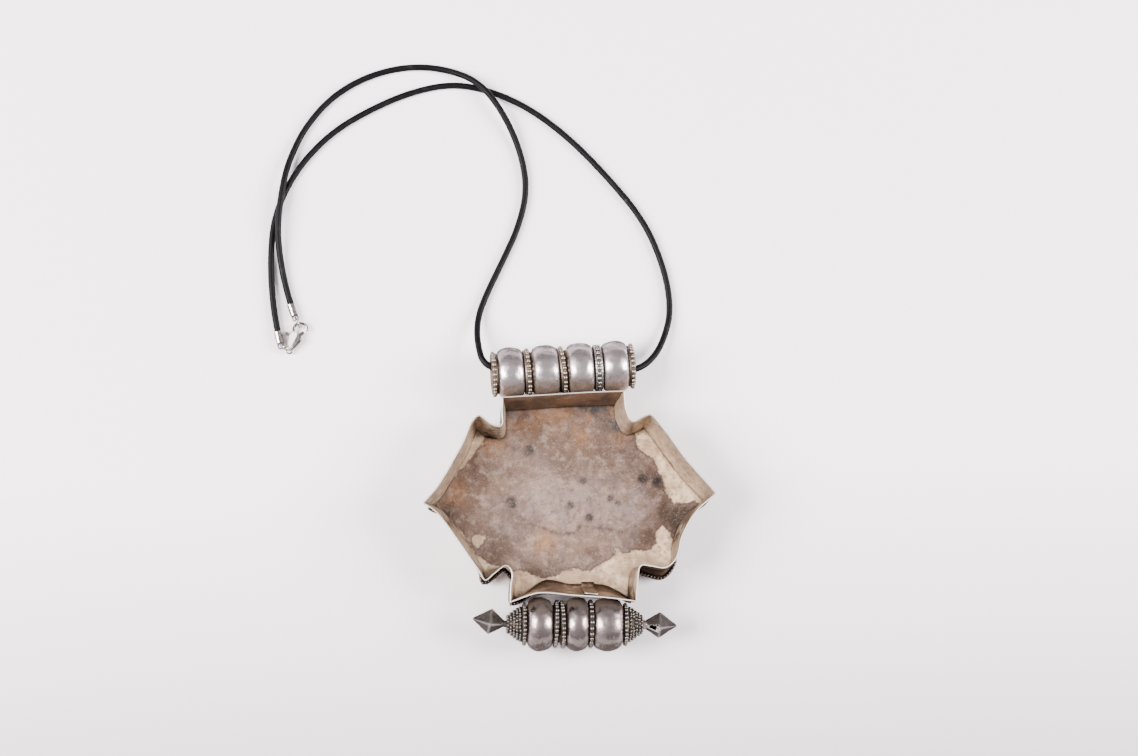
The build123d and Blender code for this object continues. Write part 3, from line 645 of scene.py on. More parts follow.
# Section of the wall, up its outer face and down its inner one, as shares of height and of thickness
ROWS_UP = [k / WALL_ROWS for k in range(WALL_ROWS)]
SECTION = [(share, 0.0) for share in ROWS_UP]
SECTION += [(RIM_FROM, 0.0), (RIM_ROUND, 0.2), (1.0, 0.5), (RIM_ROUND, 0.8), (RIM_FROM, 1.0)]
SECTION += [(share, 1.0) for share in reversed(ROWS_UP)]
PER = len(SECTION)
verts, clean, stains_and_shade = [], [], []
for i in range(COUNT):
    for share, depth in SECTION:
        x, y, z = wall_point(i, share)
        out = foot_out[i].lerp(rim_out[i], share).normalized()
        wave = ripple(x, y, z, *WALL_BROAD) + ripple(x, y, z, *WALL_SMALL)
        push = wave * math.sin(math.pi * hold(share * 0.9 + 0.05)) - WALL_HOLLOW * math.sin(math.pi * share)
        shift = push - depth * part_way(SHEET, RIM_SHEET, share)
        verts.append((x + out.x * shift, y + out.y * shift, z))
        if depth > 0.5:
            clean.append(hold(CLEAN_INSIDE[run_of[i]] + 0.2 * share))
            # Inside: the stains, and a painted shadow just under the rim
            stained = blobs(x, y - BOX_Y, WALL_STAINS) * (1 - 0.5 * share)
            shaded = max(hold((share - 0.88) * 10) * 0.45, stained)
        else:
            clean.append(CLEAN_OUTSIDE[run_of[i]])
            # Outside: painted shade on the runs in SHADED_RUNS
            shaded = SHADED if run_of[i] in SHADED_RUNS else 0.0
        stains_and_shade.append(max(shaded, hold(1.0 - share * 6.0) * 0.6))
# Painted highlight along the rim's top edge, from RIM_FROM up
bright = [hold((share - RIM_FROM) / 0.008) for share, depth in SECTION]
build("wall_sheet", verts, quads(COUNT, PER), WALL_MAT, ["wall_strip"],
      {"clean": clean, "stains_and_shade": stains_and_shade, "rim": bright * COUNT})

# Lapped end of the strip, inside the bottom edge
LAP_FROM, LAP_TO = 3.0, 7.7
LAP_IN, LAP_SHEET, LAP_RISE, LAP_CLEAN = 0.28, 0.4, 0.1, 0.35
lap_points = [i for i in range(COUNT) if run_of[i] == FOOT_RUN and LAP_FROM < rim_line[i].x < LAP_TO]
verts = []
for i in lap_points:
    for share, depth in SECTION:
        x, y, z = wall_point(i, share)
        shift = -SHEET - LAP_IN - depth * LAP_SHEET
        verts.append((x + rim_out[i].x * shift, y + rim_out[i].y * shift, z + LAP_RISE * share))
faces = quads(len(lap_points), PER, closed=False)
faces += [list(range(PER)), list(range(len(verts) - PER, len(verts)))]
stains_and_shade = [hold(0.7 - share) for share, depth in SECTION]
build("wall_lap", verts, faces, WALL_MAT,
      fields={"clean": [LAP_CLEAN] * len(verts), "stains_and_shade": stains_and_shade * len(lap_points),
              "rim": bright * len(lap_points)})

# Floor of the box: the front plate's inner face, with its flange outside the wall
FLANGE = 1.1
GRID, GRID_SLIP = 0.6, 0.2
FLOOR_BROAD, FLOOR_SMALL = (1.3, (17, 17, 1), 0.55), (4.1, (6, 6, 1), 0.16)
FLOOR_SAG, FLAT_EDGE, FLAT_FADE = 0.12, 0.6, 5.0
# Pale patches, then round places and a line of other tones, each with its reach
CLEAN_PATCHES = (
    [(21.2, 21.1), (22.0, 18.3), (23.7, 14.2), (25.2, 12.6), (28.2, 10.7), (29.9, 6.6), (30.3, 3.1),
     (31.4, -0.6), (33.1, -2.8), (35.7, -1.7), (39.4, -1.8), (41.5, -3.1), (47, 0.2),
     (39.5, 9.4), (32, 22.1), (25.5, 27)],
    [(-19, -24.3), (-16.5, -21.6), (-12.8, -22.0), (-10.1, -23.3), (-7.1, -24.3), (-4.3, -23.5), (-1.2, -22.4),
     (2.5, -21.9), (6.8, -22.1), (8.0, -20.9), (14.1, -17.9), (14.7, -15.8), (19.5, -17.3), (21.9, -16.1),
     (24.9, -16.1), (27.3, -14.3), (27.9, -11.3), (29.4, -9.2), (31.5, -11.3), (30.9, -13.1), (34.5, -14.0),
     (38, -14.1), (32.3, -23), (20.5, -23), (19.7, -30), (-19, -30)],
    [(-35.5, -6.6), (-32.2, -8.5), (-30.5, -11.7), (-28.5, -16.0), (-23.4, -18.9), (-21.0, -20.2), (-23.6, -25),
     (-29.5, -21.5), (-35, -13.1)],
    [(-29.9, -11.4), (-27.4, -9.3), (-24.3, -10.6), (-25.3, -13.0), (-27.5, -14.5)],
    [(-24.1, 21.8), (-25.2, 17.8), (-27.1, 14.8), (-31.6, 11.2), (-34.1, 7.2), (-37.3, 4.5), (-43, 2.5),
     (-34.5, 15.5), (-27, 26.5), (-23.1, 25.2)],
)
SPOTS = ((-10.8, 15.2, 1.5), (-16.9, -0.7, 1.5), (23.9, 5.5, 1.3), (28.4, 4.6, 1.4), (13.8, -0.1, 0.8),
         (15.9, -1.8, 0.8), (6.8, -6.0, 1.2), (5.6, 5.7, 1.0), (1.4, -1.9, 1.0))
WARM = ((-10, 25, 4.5), (-14, 24.5, 3.5), (-3, 25.5, 3.5), (17, 18.8, 2.8), (15, 26.7, 1.8), (-23.3, 17, 3.5),
        (-20.5, 19.5, 3), (6, 20, 4), (-7.6, -13.1, 4), (-34, 3, 4), (0, 27, 3), (8, 26, 3), (-24, 22, 4))
COLD = ((13.5, 23.6, 2.5), (16.5, 22, 1.8), (-18, 27, 2.5), (-13, 28.2, 2.2), (8, 28.6, 2.5), (11.6, 28.6, 3))
TIDE = ((-11.7, -7.2), (-2.9, -10.7), (1.7, -10.7), (4.6, -8.4), (10.3, -9.2), (17.7, -10.7))
TIDE_WIDE = 0.9
BROWN = ((-30, 2, 6), (-36, 0, 4), (-33, -6, 4), (-19.7, -14.3, 3.4), (-24, -17, 3), (-10.6, -22, 2.5),
         (26, 7, 3.5), (7.4, -17.3, 2.8), (28, 2, 3.5), (31, -5, 4), (33, -9, 3.5), (25, -12, 3.5),
         (-8, 21, 5), (0, 12, 6), (-26, 10, 5), (12, 13, 5), (4, 17, 4))
GREY = ((-9, 1, 6), (-2, -5, 6), (6, -2, 6), (12, -6, 5), (18.3, -4.7, 5), (22, -3, 4), (-3, 6, 5), (5, 5, 4),
        (9.3, -8.3, 2.2), (18.3, -5, 2.5), (-17.3, -8.9, 2.8))
DARK = ((-36.0, -3.5, 2.6), (36.7, -5.4, 3.0), (34.5, -9.5, 3.4), (16.8, -26.6, 2.4), (-19.5, 23.5, 2.0),
        (31.5, -5.5, 3.2), (25, -19.6, 1.6), (-19, 20, 1.6))
ZONES = {"warm": WARM, "brown": BROWN, "grey": GREY, "cold": COLD}
PATCH_REACH = 6.0


def line_gap(x, y, points):
    """How far a place lies from a line through the points."""
    near = math.inf
    for (ax, ay), (bx, by) in zip(points, points[1:]):
        dx, dy = bx - ax, by - ay
        t = hold(((x - ax) * dx + (y - ay) * dy) / (dx * dx + dy * dy))
        near = min(near, math.hypot(x - ax - dx * t, y - ay - dy * t))
    return near


def patch_field(x, y):
    """How deep a place lies in the nearest pale patch, or minus how far it lies from one."""
    best = -PATCH_REACH
    for patch in CLEAN_PATCHES:
        inside = False
        for (ax, ay), (bx, by) in zip(patch, patch[1:] + patch[:1]):
            if (ay > y) != (by > y) and x < ax + (y - ay) / (by - ay) * (bx - ax):
                inside = not inside
        near = min(PATCH_REACH, line_gap(x, y, patch + patch[:1]))
        best = max(best, near if inside else -near)
    return best


edge_line = [p + o * FLANGE for p, o in zip(foot_line, foot_out)]
tree = kdtree.KDTree(COUNT)
for i, p in enumerate(foot_line):
    tree.insert((p.x, p.y, 0), i)
tree.balance()


def foot_near(place):
    """How far a place lies from the wall's foot, and how far inside it."""
    near, index, gap = tree.find((place.x, place.y, 0))
    return gap, (foot_line[index] - place).dot(foot_out[index])


def floor_height(x, y, edge):
    """The plate isn't flat: it is hammered, sags between its edges and has a few soft dents."""
    free = hold((edge - FLAT_EDGE) / FLAT_FADE)
    return FLOOR_Z + free * (ripple(x, y, *FLOOR_BROAD) + ripple(x, y, *FLOOR_SMALL) - FLOOR_SAG)


west, south = min(p.x for p in edge_line), min(p.y for p in edge_line)
columns = int((max(p.x for p in edge_line) - west) / GRID)
rows = int((max(p.y for p in edge_line) - south) / GRID)
seeds = list(edge_line)
for a in range(columns + 1):
    for b in range(rows + 1):
        slip_x, slip_y = (DICE.uniform(-GRID_SLIP, GRID_SLIP) for _ in range(2))
        place = Vector((west + a * GRID + slip_x, south + b * GRID + slip_y))
        gap, depth = foot_near(place)
        if gap > 0.5 and depth > 0.35:
            seeds.append(place)
edges = [(i, (i + 1) % COUNT) for i in range(COUNT)]
flat, _, triangles, *_ = delaunay_2d_cdt(seeds, edges, [], 1, 0.0001)
verts, fields = [], {name: [] for name in ("clean", "tide", "stains_and_shade", "spot", "edge", *ZONES)}
for p in flat:
    gap, depth = foot_near(p)
    inner = max(0.0, (gap if depth > 0 else 0.0) - SHEET)
    verts.append((p.x, p.y, floor_height(p.x, p.y, inner)))
    fields["clean"].append(patch_field(p.x, p.y))
    fields["tide"].append(hold(1 - line_gap(p.x, p.y, TIDE) / TIDE_WIDE))
    fields["stains_and_shade"].append(blobs(p.x, p.y, DARK) * 0.9)
    fields["spot"].append(hold(2.2 * blobs(p.x, p.y, SPOTS)))
    fields["edge"].append(inner)
    for name, places in ZONES.items():
        fields[name].append(blobs(p.x, p.y, places))
top_count = len(verts)
verts += [(p.x, p.y, PLATE_LOW) for p in flat]
faces = [list(t) for t in triangles]
faces += [[i + top_count for i in reversed(t)] for t in triangles]
faces += [[i, j, j + top_count, i + top_count] for i, j in edges]
for values in fields.values():
    values.extend(values[:top_count])
build("floor_sheet", verts, faces, FLOOR_MAT, ["front_plate"], fields)

# A bright scratch in the floor
SCRATCH = ((17.8, 1.0), (20.5, 2.2), (23.4, 3.7))
SCRATCH_HALF, SCRATCH_STEP, SCRATCH_ROWS = 0.16, 0.5, 12.5
SCRATCH_SINK, SCRATCH_RISE = 0.03, 0.05
verts = []
for i, (x, y) in enumerate(even(smooth_run(SCRATCH, 8), SCRATCH_STEP)):
    wide = SCRATCH_HALF * math.sin(math.pi * hold(i / SCRATCH_ROWS, 0.04, 0.96))
    z = floor_height(x, y, TAB_REACH)
    verts += [(x - wide * 0.45, y + wide * 0.9, z - SCRATCH_SINK), (x, y, z + SCRATCH_RISE),
              (x + wide * 0.45, y - wide * 0.9, z - SCRATCH_SINK)]
faces = quads(len(verts) // 3, 3, closed=False)
faces += [[0, 1, 2], [len(verts) - 3, len(verts) - 1, len(verts) - 2]]
build("floor_scratch", verts, faces, TORN_MAT)

# Beaded wire round the wall's foot
WIRE_R = 0.5
WIRE_PITCH = 1.02
verts, faces, tops = [], [], []
wire_line = [p + o * (WIRE_R + 0.08) for p, o in zip(foot_line, foot_out)]
wire_line = even([Vector((p.x, p.y, 0)) for p in wire_line + wire_line[:1]], WIRE_PITCH)
for a, b in zip(wire_line, wire_line[1:]):
    ahead = (b - a).normalized()
    aside = Vector((-ahead.y, ahead.x, 0))
    size = WIRE_R * DICE.uniform(0.9, 1.06)
    seat = a + Vector((0, 0, FLOOR_Z + WIRE_R)) + aside * DICE.uniform(-0.05, 0.05)
    lean = (aside + Vector((0, 0, 1))).normalized()
    axes = (ahead, aside, Vector((0, 0, 1)))
    add_ball(verts, faces, tops, SMALL_BALL, seat, (size * 1.1, size, size), axes, lean)
build("base_beads", verts, faces, BASE_WIRE_MAT, ["base_bead_wire"], {"top": tops})


# Tubes of domed barrels
class Tube:
    """A tube's axis: from its middle, along to the right, aside to the north and upward."""

    def __init__(self, left, right):
        self.middle = (centre(left) + centre(right)) / 2
        self.along = (centre(right) - centre(left)).normalized()
        self.aside = Vector((-self.along.y, self.along.x, 0))
        self.upward = Vector((0, 0, 1))

    def out(self, angle):
        return self.aside * math.cos(angle) + self.upward * math.sin(angle)

    def across(self, angle):
        return self.upward * math.cos(angle) - self.aside * math.sin(angle)

    def at(self, along, angle=0.0, radius=0.0):
        return self.middle + self.along * along + self.out(angle) * radius


def lathe(tube, profile, turns, verts, faces):
    """Adds the closed surface that a profile of (along, radius) sweeps round a tube's axis."""
    first = len(verts)
    for a in range(turns):
        verts.extend(tube.at(s, turn(a, turns), r) for s, r in profile)
    faces.extend(quads(turns, len(profile), first))


DOME_STEPS = 28
BARREL_TURNS = 112
DOME_POWER = 2.1
DENT, DENT_BROAD, DENT_SMALL = 0.2, 0.24, 0.55


def barrel(tube, name, start, necks, ends, dome, crown, box_side, material):
    """One hollow domed barrel with small dents, brown on the box's side with tarnish and painted shade, and
    painted shade on its far side.
    """
    left = start + necks[0]
    end = left + dome + necks[1]
    bore = min(ends) - SHEET
    profile = [(start, ends[0])]
    for k in range(DOME_STEPS + 1):
        t = 2 * k / DOME_STEPS - 1
        base = part_way(*ends, (t + 1) / 2)
        radius = part_way(base, crown, math.sqrt(1 - abs(t) ** DOME_POWER))
        profile.append((left + dome * (t + 1) / 2, radius))
    profile += [(end, ends[1]), (end, bore), (start, bore)]
    verts, faces, toning_and_shade, far, groove = [], [], [], [], []
    lathe(tube, profile, BARREL_TURNS, verts, faces)
    per = len(profile)
    for i, p in enumerate(verts):
        out = tube.out(turn(i // per, BARREL_TURNS))
        low = min(ends)
        rise = hold((profile[i % per][1] - low) / (crown - low))
        wave = noise.noise(p * DENT_BROAD) + 0.5 * noise.noise(p * DENT_SMALL)
        verts[i] = p + out * (wave * DENT * rise - DENT * 0.6 * rise)
        # Tarnish and painted shade on the side toward the box
        toning_and_shade.append(hold(1.1 * out.y * box_side) * (1.2 - 0.5 * out.z))
        # Painted shade on the side away from the box
        far.append(hold(-1.3 * out.y * box_side - 0.4))
        groove.append(hold(1.0 - rise * 2.0))
    build(f"{name}_skin", verts, faces, material, [name],
          {"toning_and_shade": toning_and_shade, "far": far, "groove": groove})
    return end


def barrels(tube, name, domes, necks, radii, crowns, box_side, material):
    """A row of barrels with the necks and neck radii given; returns where its hoops sit, and its length."""
    neck_r, end_r = radii
    long = sum(domes) + sum(sum(pair) for pair in necks)
    joint = -long / 2
    places = [(joint + BEAD_R + SEAT_GAP, end_r)]
    for number, (dome, pair, crown) in enumerate(zip(domes, necks, crowns), start=1):
        ends = (end_r if number == 1 else neck_r, end_r if number == len(domes) else neck_r)
        joint = barrel(tube, f"{name}_barrel_{number}", joint, pair, ends, dome, crown, box_side, material)
        places.append((joint, neck_r))
    places[-1] = (joint - BEAD_R - SEAT_GAP, end_r)
    return places, long


HOOP_TURNS = 120
PLAIN_STRIP = ((-0.72, 0.0), (-0.72, 0.3), (0.72, 0.3), (0.72, 0.0))
LEFT_STRIP = ((-0.72, 0.0), (-0.72, 0.3), (0.3, 0.45), (1.12, 0.6), (1.12, 0.0))
RIGHT_STRIP = tuple((-s, rise) for s, rise in reversed(LEFT_STRIP))
WIDE_STRIP = ((-1.16, 0.0), (-1.16, 0.62), (-0.5, 0.7), (0.62, 0.5), (0.62, 0.0))
CORDED_STRIP = ((-1.16, 0.0), (-1.16, 0.7), (-1.0, 1.0), (-0.78, 1.06), (-0.58, 0.86), (-0.5, 0.5), (0.5, 0.5),
                (0.58, 0.86), (0.78, 1.06), (1.0, 1.0), (1.16, 0.7), (1.16, 0.0))


def hoop(tube, name, middle, neck_r, pitch, strip=PLAIN_STRIP, lean=0.0, material=None, size=BEAD_R,
         lift=0.0):
    """A hoop of round beads on a thin strip; it leans to the right on its south side, as given."""
    neck_r += lift
    hoop_r = neck_r + BEAD_R + SEAT_GAP
    corded = strip is CORDED_STRIP
    beads = round(2 * math.pi * hoop_r / pitch)
    verts, faces, tops = [], [], []
    for k in range(beads):
        angle = turn(k + DICE.uniform(-0.08, 0.08), beads)
        out = tube.out(angle)
        slip = -lean * math.cos(angle) + DICE.uniform(-0.06, 0.06)
        bead = size * DICE.uniform(0.88, 1.02)
        place = tube.at(middle + slip, angle, hoop_r + DICE.uniform(-0.08, 0.02))
        add_ball(verts, faces, tops, FINE_BALL, place, (bead * 0.95, bead, bead * (0.7 if corded else 0.92)),
                 (tube.along, tube.across(angle), out), out)
    first, per = len(verts), len(strip)
    profile = [(middle + s, neck_r + SEAT_GAP + (rise or -lift)) for s, rise in strip]
    lathe(tube, profile, HOOP_TURNS, verts, faces)
    for i in range(first, len(verts)):
        angle = turn((i - first) // per, HOOP_TURNS)
        rise = strip[(i - first) % per][1]
        cord = 0.09 * math.sin(angle * 40) if corded and rise > 0.8 else 0.0
        verts[i] += tube.along * (-lean * math.cos(angle)) + tube.out(angle) * cord
        tops.append(hold(rise * 0.8 + cord * 2))
    build(f"{name}_beads", verts, faces, material or HOOP_MAT, [name], {"top": tops})


# Hanger tube: strip, bead pitch and lean of each hoop from left to right
HANGER_NECK, HANGER_END = 1.42, 1.9
HANGER_CROWNS = (8.12, 8.15, 8.2, 8.16)
HANGER_DOMES = (7.9,) * len(HANGER_CROWNS)
HANGER_NECKS = ((HANGER_END, HANGER_NECK), (HANGER_NECK, HANGER_NECK), (HANGER_NECK, HANGER_NECK),
                (HANGER_NECK, HANGER_END))
HANGER_RADII = (6.1, 5.7)
HANGER_HOOPS = ((LEFT_STRIP, 1.65, 0.0), (WIDE_STRIP, 1.65, 0.12), (WIDE_STRIP, 1.6, 0.4),
                (CORDED_STRIP, 1.75, 0.0), (RIGHT_STRIP, 1.65, 0.0))
hanger = Tube("hanger_ring_1", "hanger_ring_5")
places, hanger_long = barrels(hanger, "hanger", HANGER_DOMES, HANGER_NECKS, HANGER_RADII, HANGER_CROWNS, -1,
                              HANGER_MAT)
for number, ((at, seat_r), (strip, pitch, lean)) in enumerate(zip(places, HANGER_HOOPS), start=1):
    hoop(hanger, f"hanger_ring_{number}", at, seat_r, pitch, strip, lean,
         CORDED_MAT if strip is CORDED_STRIP else HOOP_MAT)

# Foot tube: bead pitch, bead size and lean of each hoop from left to right
FOOT_DOMES = (7.8, 6.8, 9.0)
FOOT_NECKS = ((1.5, 2.0), (2.0, 0.75), (0.75, 1.5))
FOOT_RADII, FOOT_CROWNS = (5.6, 4.9), (8.25,) * len(FOOT_DOMES)
FOOT_HOOPS = ((1.3, 0.62, 0.0), (1.35, 0.62, -0.2), (1.4, 0.66, 0.25), (1.75, 0.72, 0.0), (1.3, 0.62, 0.0))
PAIR_PITCH = 2.0
HOOP_LIFT = 0.45
foot = Tube("foot_cone_left", "foot_cone_right")
places, foot_long = barrels(foot, "foot", FOOT_DOMES, FOOT_NECKS, FOOT_RADII, FOOT_CROWNS, 1, FOOT_MAT)
pair_at, pair_r = places[1]
places[1:2] = [(pair_at - PAIR_PITCH / 2, pair_r), (pair_at + PAIR_PITCH / 2, pair_r)]
for number, ((at, seat_r), (pitch, size, lean)) in enumerate(zip(places, FOOT_HOOPS), start=1):
    hoop(foot, f"foot_ring_{number}", at, seat_r, pitch, lean=lean, material=FOOT_HOOP_MAT, size=size,
         lift=HOOP_LIFT)

# Granulated cones
CONE_LONG, CONE_BOW = 4.6, 1.25
CONE_ROWS = 5
CONE_BASE_R, CONE_TOP_R = 5.05, 2.1
GRANULE_R, GRANULE_PITCH = 0.56, 1.12
CORE_SINK = 0.2
HOLE_ROW, HOLE_ANGLE, HOLE_HALF = 1, math.radians(80), math.radians(13)
for side, label in ((-1, "left"), (1, "right")):
    base = side * foot_long / 2
    verts, faces, tops = [], [], []
    core = [(base, 0.01), (base, CONE_BASE_R - CORE_SINK)]
    for row in range(CONE_ROWS):
        share = (row + 0.5) / CONE_ROWS
        row_r = part_way(CONE_BASE_R, CONE_TOP_R, share**CONE_BOW)
        at = base + side * CONE_LONG * share
        core.append((at, row_r - CORE_SINK))
        count = round(2 * math.pi * row_r / GRANULE_PITCH)
        for k in range(count):
            angle = turn(k + 0.5 * (row % 2) + DICE.uniform(-0.14, 0.14), count)
            if label == "right" and row == HOLE_ROW and abs(angle - HOLE_ANGLE) < HOLE_HALF:
                continue
            out = foot.out(angle)
            size = GRANULE_R * DICE.uniform(0.82, 1.04)
            place = foot.at(at + DICE.uniform(-0.1, 0.1), angle, row_r + DICE.uniform(-0.1, 0.06))
            facing = (out + foot.along * side * 0.6).normalized()
            add_ball(verts, faces, tops, SMALL_BALL, place, (size, size, size),
                     (foot.along, foot.across(angle), out), facing)
    core += [(base + side * CONE_LONG, CONE_TOP_R - 0.4), (base + side * CONE_LONG, 0.01)]
    first = len(verts)
    lathe(foot, core, 64, verts, faces)
    tops.extend([0.1] * (len(verts) - first))
    build(f"foot_cone_{label}_granules", verts, faces, CONE_MAT, [f"foot_cone_{label}"],
          {"top": tops})

# Four-sided finials: the left one is bent up, the right one is a torn shell
FINIAL_NECK, FINIAL_INNER, FINIAL_OUTER, FINIAL_HALF, FINIAL_TIP = 0.8, 4.2, 5.2, 4.1, 0.35
STEM_R, STEM_IN = 1.0, 2.0
FINIAL_ROLL = math.radians(19)
FINIAL_RING = 48
SHELL = 0.3


def finial(label, side, bend, stem, tear=None):
    """A finial from stem to tip; tear gives the span along it and the span of angles torn away."""
    heading = (foot.along * side * math.cos(bend) + foot.aside * math.sin(bend)).normalized()
    south = foot.upward.cross(heading).normalized() * -side
    over = (south * math.sin(FINIAL_ROLL) + foot.upward * math.cos(FINIAL_ROLL)).normalized()
    south = (south - over * south.dot(over)).normalized()
    base = foot.at(side * (foot_long / 2 + CONE_LONG))
    waist = FINIAL_NECK + FINIAL_INNER
    stations = [(-STEM_IN, stem), (FINIAL_NECK, stem)]
    stations += [(FINIAL_NECK + FINIAL_INNER * k / 8, part_way(stem, FINIAL_HALF, k / 8)) for k in range(1, 8)]
    stations += [(waist - 0.1, FINIAL_HALF - 0.08), (waist + 0.12, FINIAL_HALF - 0.08)]
    stations += [(waist + FINIAL_OUTER * k / 9, part_way(FINIAL_HALF, FINIAL_TIP, k / 9)) for k in range(1, 10)]
    verts, faces, ridge, south_side = [], [], [], []
    rows = len(stations)
    for shell in (0.0, SHELL):
        for s, r in stations:
            square = hold((s - FINIAL_NECK) / 0.9)
            for k in range(FINIAL_RING):
                angle = turn(k, FINIAL_RING)
                quarter = (angle + math.pi / 4) % (math.pi / 2) - math.pi / 4
                edge = math.cos(math.pi / 4) / math.cos(math.pi / 4 - abs(quarter))
                radius = r * (1 + (edge - 1) * square)
                out = over * math.cos(angle) + south * math.sin(angle)
                spot = base + heading * s + out * radius
                dent = noise.noise(spot * 0.35) * 0.16 * square
                verts.append(spot + out * (dent - min(shell, radius * 0.5)))
                # How far each point faces south, where the finish paints shade
                south_side.append(hold(-out.dot(foot.aside)))
                ridge.append(square * max(hold(1 - abs(quarter) / 0.12), hold(1 - abs(s - waist) / 0.25)))
    whole = rows * FINIAL_RING

    def gone(row, k):
        if not tear:
            return False
        angle = (360 * (k + 0.5) / FINIAL_RING + 180) % 360 - 180
        ragged = noise.noise((row * 0.9, k * 0.7, 2.0)) * 0.9
        middle = (stations[row][0] + stations[row + 1][0]) / 2
        return tear[0] < middle + ragged < tear[1] and tear[2] < angle + ragged * 14 < tear[3]

    borders = {}
    for a in range(rows - 1):
        for k in range(FINIAL_RING):
            m = (k + 1) % FINIAL_RING
            if gone(a, k):
                continue
            here, after = a * FINIAL_RING, (a + 1) * FINIAL_RING
            ring = [here + k, here + m, after + m, after + k]
            faces.append(ring)
            faces.append([whole + i for i in reversed(ring)])
            for pair in zip(ring, ring[1:] + ring[:1]):
                borders[frozenset(pair)] = None if frozenset(pair) in borders else pair
    lips = set()
    for pair in borders.values():
        if pair:
            i, j = pair
            faces.append([j, i, whole + i, whole + j])
            if FINIAL_RING <= i < whole - FINIAL_RING:
                lips.update((i, j, whole + i, whole + j))
    pale = 2 * FINIAL_RING if tear else 0
    torn = [1.0 if i in lips else 0.6 if i % whole < pale else 0.0 for i in range(len(verts))]
    build(f"foot_finial_{label}_facets", verts, faces, FINIAL_MAT, [f"foot_finial_{label}"],
          {"torn": torn, "ridge": ridge, "south": south_side}, smooth=False)


finial("left", -1, 0.16, STEM_R)
finial("right", 1, -0.03, 1.35 * STEM_R, (1.7, 4.3, -12, 38))

# Lobster clasp: rounded cheeks either side of a slot, a tail eye and a tapered hook, on the solid's own axis
CLASP_TAIL = (-83.4, 48.9)
CLASP_HEADING = math.radians(63.7)
CLASP_Z = 1.3
SLOT_HALF, CHEEK_RIDGE, CHEEK_RIGHT, RIDGE_AT = 0.6, 0.9, 0.5, 0.15
UNDERSIDE = 0.65
UPPER_EDGE = ((0.5, 0.75), (2.4, 1.6), (4.4, 2.2), (5.6, 2.0), (6.1, 1.3))
LOWER_EDGE = ((0.5, -0.75), (2.4, -1.45), (4.2, -1.95), (5.1, -1.75), (5.5, -0.9))
TAIL_JOIN = 1.6
HOOK_CENTRE, HOOK_R = (7.33, -0.39), 2.1
HOOK_FROM, HOOK_TO = 152.0, -78.0
HOOK_ROOT_R, HOOK_END_R = 0.48, 0.42
HOOK_ROOT_TALL = 1.5
EYE_R, EYE_WIRE, EYE_DARKENING = 0.92, 0.27, 0.4
TAIL_NARROW = 0.96
CHEEK_STEPS, CHEEK_HALF, HOOK_STEPS, HOOK_SIDES, EYE_TURNS, EYE_SIDES = 24, 8, 40, 16, 32, 12


def on_clasp(along, aside, up):
    ahead = Vector((math.cos(CLASP_HEADING), math.sin(CLASP_HEADING), 0))
    left = Vector((-ahead.y, ahead.x, 0))
    return Vector((*CLASP_TAIL, CLASP_Z)) + ahead * along + left * aside + Vector((0, 0, up))


def loft_rings(rings, verts, faces):
    """Adds a closed skin over rings that have the same number of points."""
    first, per = len(verts), len(rings[0])
    for ring in rings:
        verts.extend(ring)
    faces.extend(quads(len(rings), per, first, closed=False))
    faces.extend([list(range(first, first + per)), list(range(len(verts) - per, len(verts)))])


verts, faces, edge_shade, facet = [], [], [], []
upper, lower = (even(smooth_run(edge), 0.2, CHEEK_STEPS) for edge in (UPPER_EDGE, LOWER_EDGE))
across = [k / CHEEK_HALF - 1 for k in range(2 * CHEEK_HALF + 1)]
for side in (1, -1):
    rings = []
    for a, b in zip(upper, lower):
        ring = []
        for t in across:
            flat = a.lerp(b, (t + 1) / 2)
            if t < RIDGE_AT:
                rise = CHEEK_RIDGE * (t + 1) / (RIDGE_AT + 1)
            else:
                rise = part_way(CHEEK_RIDGE, CHEEK_RIGHT, (t - RIDGE_AT) / (1 - RIDGE_AT))
            rise *= 1.0 if side > 0 else UNDERSIDE
            ring.append(on_clasp(flat.x, flat.y, side * (SLOT_HALF + rise)))
        rings.append(ring + [on_clasp(p.x, p.y, side * SLOT_HALF) for p in (b, a)])
        # Painted shade along the cheeks' edges and on the slot's sides
        edge_shade += [hold((abs(t) - 0.7) * 4) for t in across] + [1.0, 1.0]
        # Painted highlight on the facet left of the ridge
        facet += [1.0 if t < RIDGE_AT else 0.0 for t in across] + [0.0, 0.0]
    loft_rings(rings, verts, faces)
rings = []
for a, b in zip(upper, lower):
    if a.x < TAIL_JOIN:
        corners_of = ((a, SLOT_HALF), (b, SLOT_HALF), (b, -SLOT_HALF), (a, -SLOT_HALF))
        rings.append([on_clasp(p.x, p.y * TAIL_NARROW, up) for p, up in corners_of])
loft_rings(rings, verts, faces)
rings = []
for k in range(HOOK_STEPS + 1):
    share = k / HOOK_STEPS
    angle = math.radians(part_way(HOOK_FROM, HOOK_TO, share))
    taper = hold(share * 2.5)
    wire = part_way(HOOK_ROOT_R, HOOK_END_R, taper)
    tall = wire * part_way(HOOK_ROOT_TALL, 1, taper)
    ring = []
    for t in (turn(j, HOOK_SIDES) for j in range(HOOK_SIDES)):
        reach = HOOK_R + wire * math.cos(t)
        ring.append(on_clasp(HOOK_CENTRE[0] + reach * math.cos(angle), HOOK_CENTRE[1] + reach * math.sin(angle),
                             tall * math.sin(t)))
    rings.append(ring)
loft_rings(rings, verts, faces)
first = len(verts)
for angle in (turn(k, EYE_TURNS) for k in range(EYE_TURNS)):
    for t in (turn(j, EYE_SIDES) for j in range(EYE_SIDES)):
        reach = EYE_R + EYE_WIRE * math.cos(t)
        verts.append(on_clasp(reach * math.cos(angle), reach * math.sin(angle), EYE_WIRE * math.sin(t)))
faces += quads(EYE_TURNS, EYE_SIDES, first)
edge_shade += [EYE_DARKENING] * (len(verts) - len(edge_shade))
facet += [0.0] * (len(verts) - len(facet))
build("clasp_shell", verts, faces, CLASP_MAT, ["clasp_body"], {"edge": edge_shade, "facet": facet},
      "clasp")

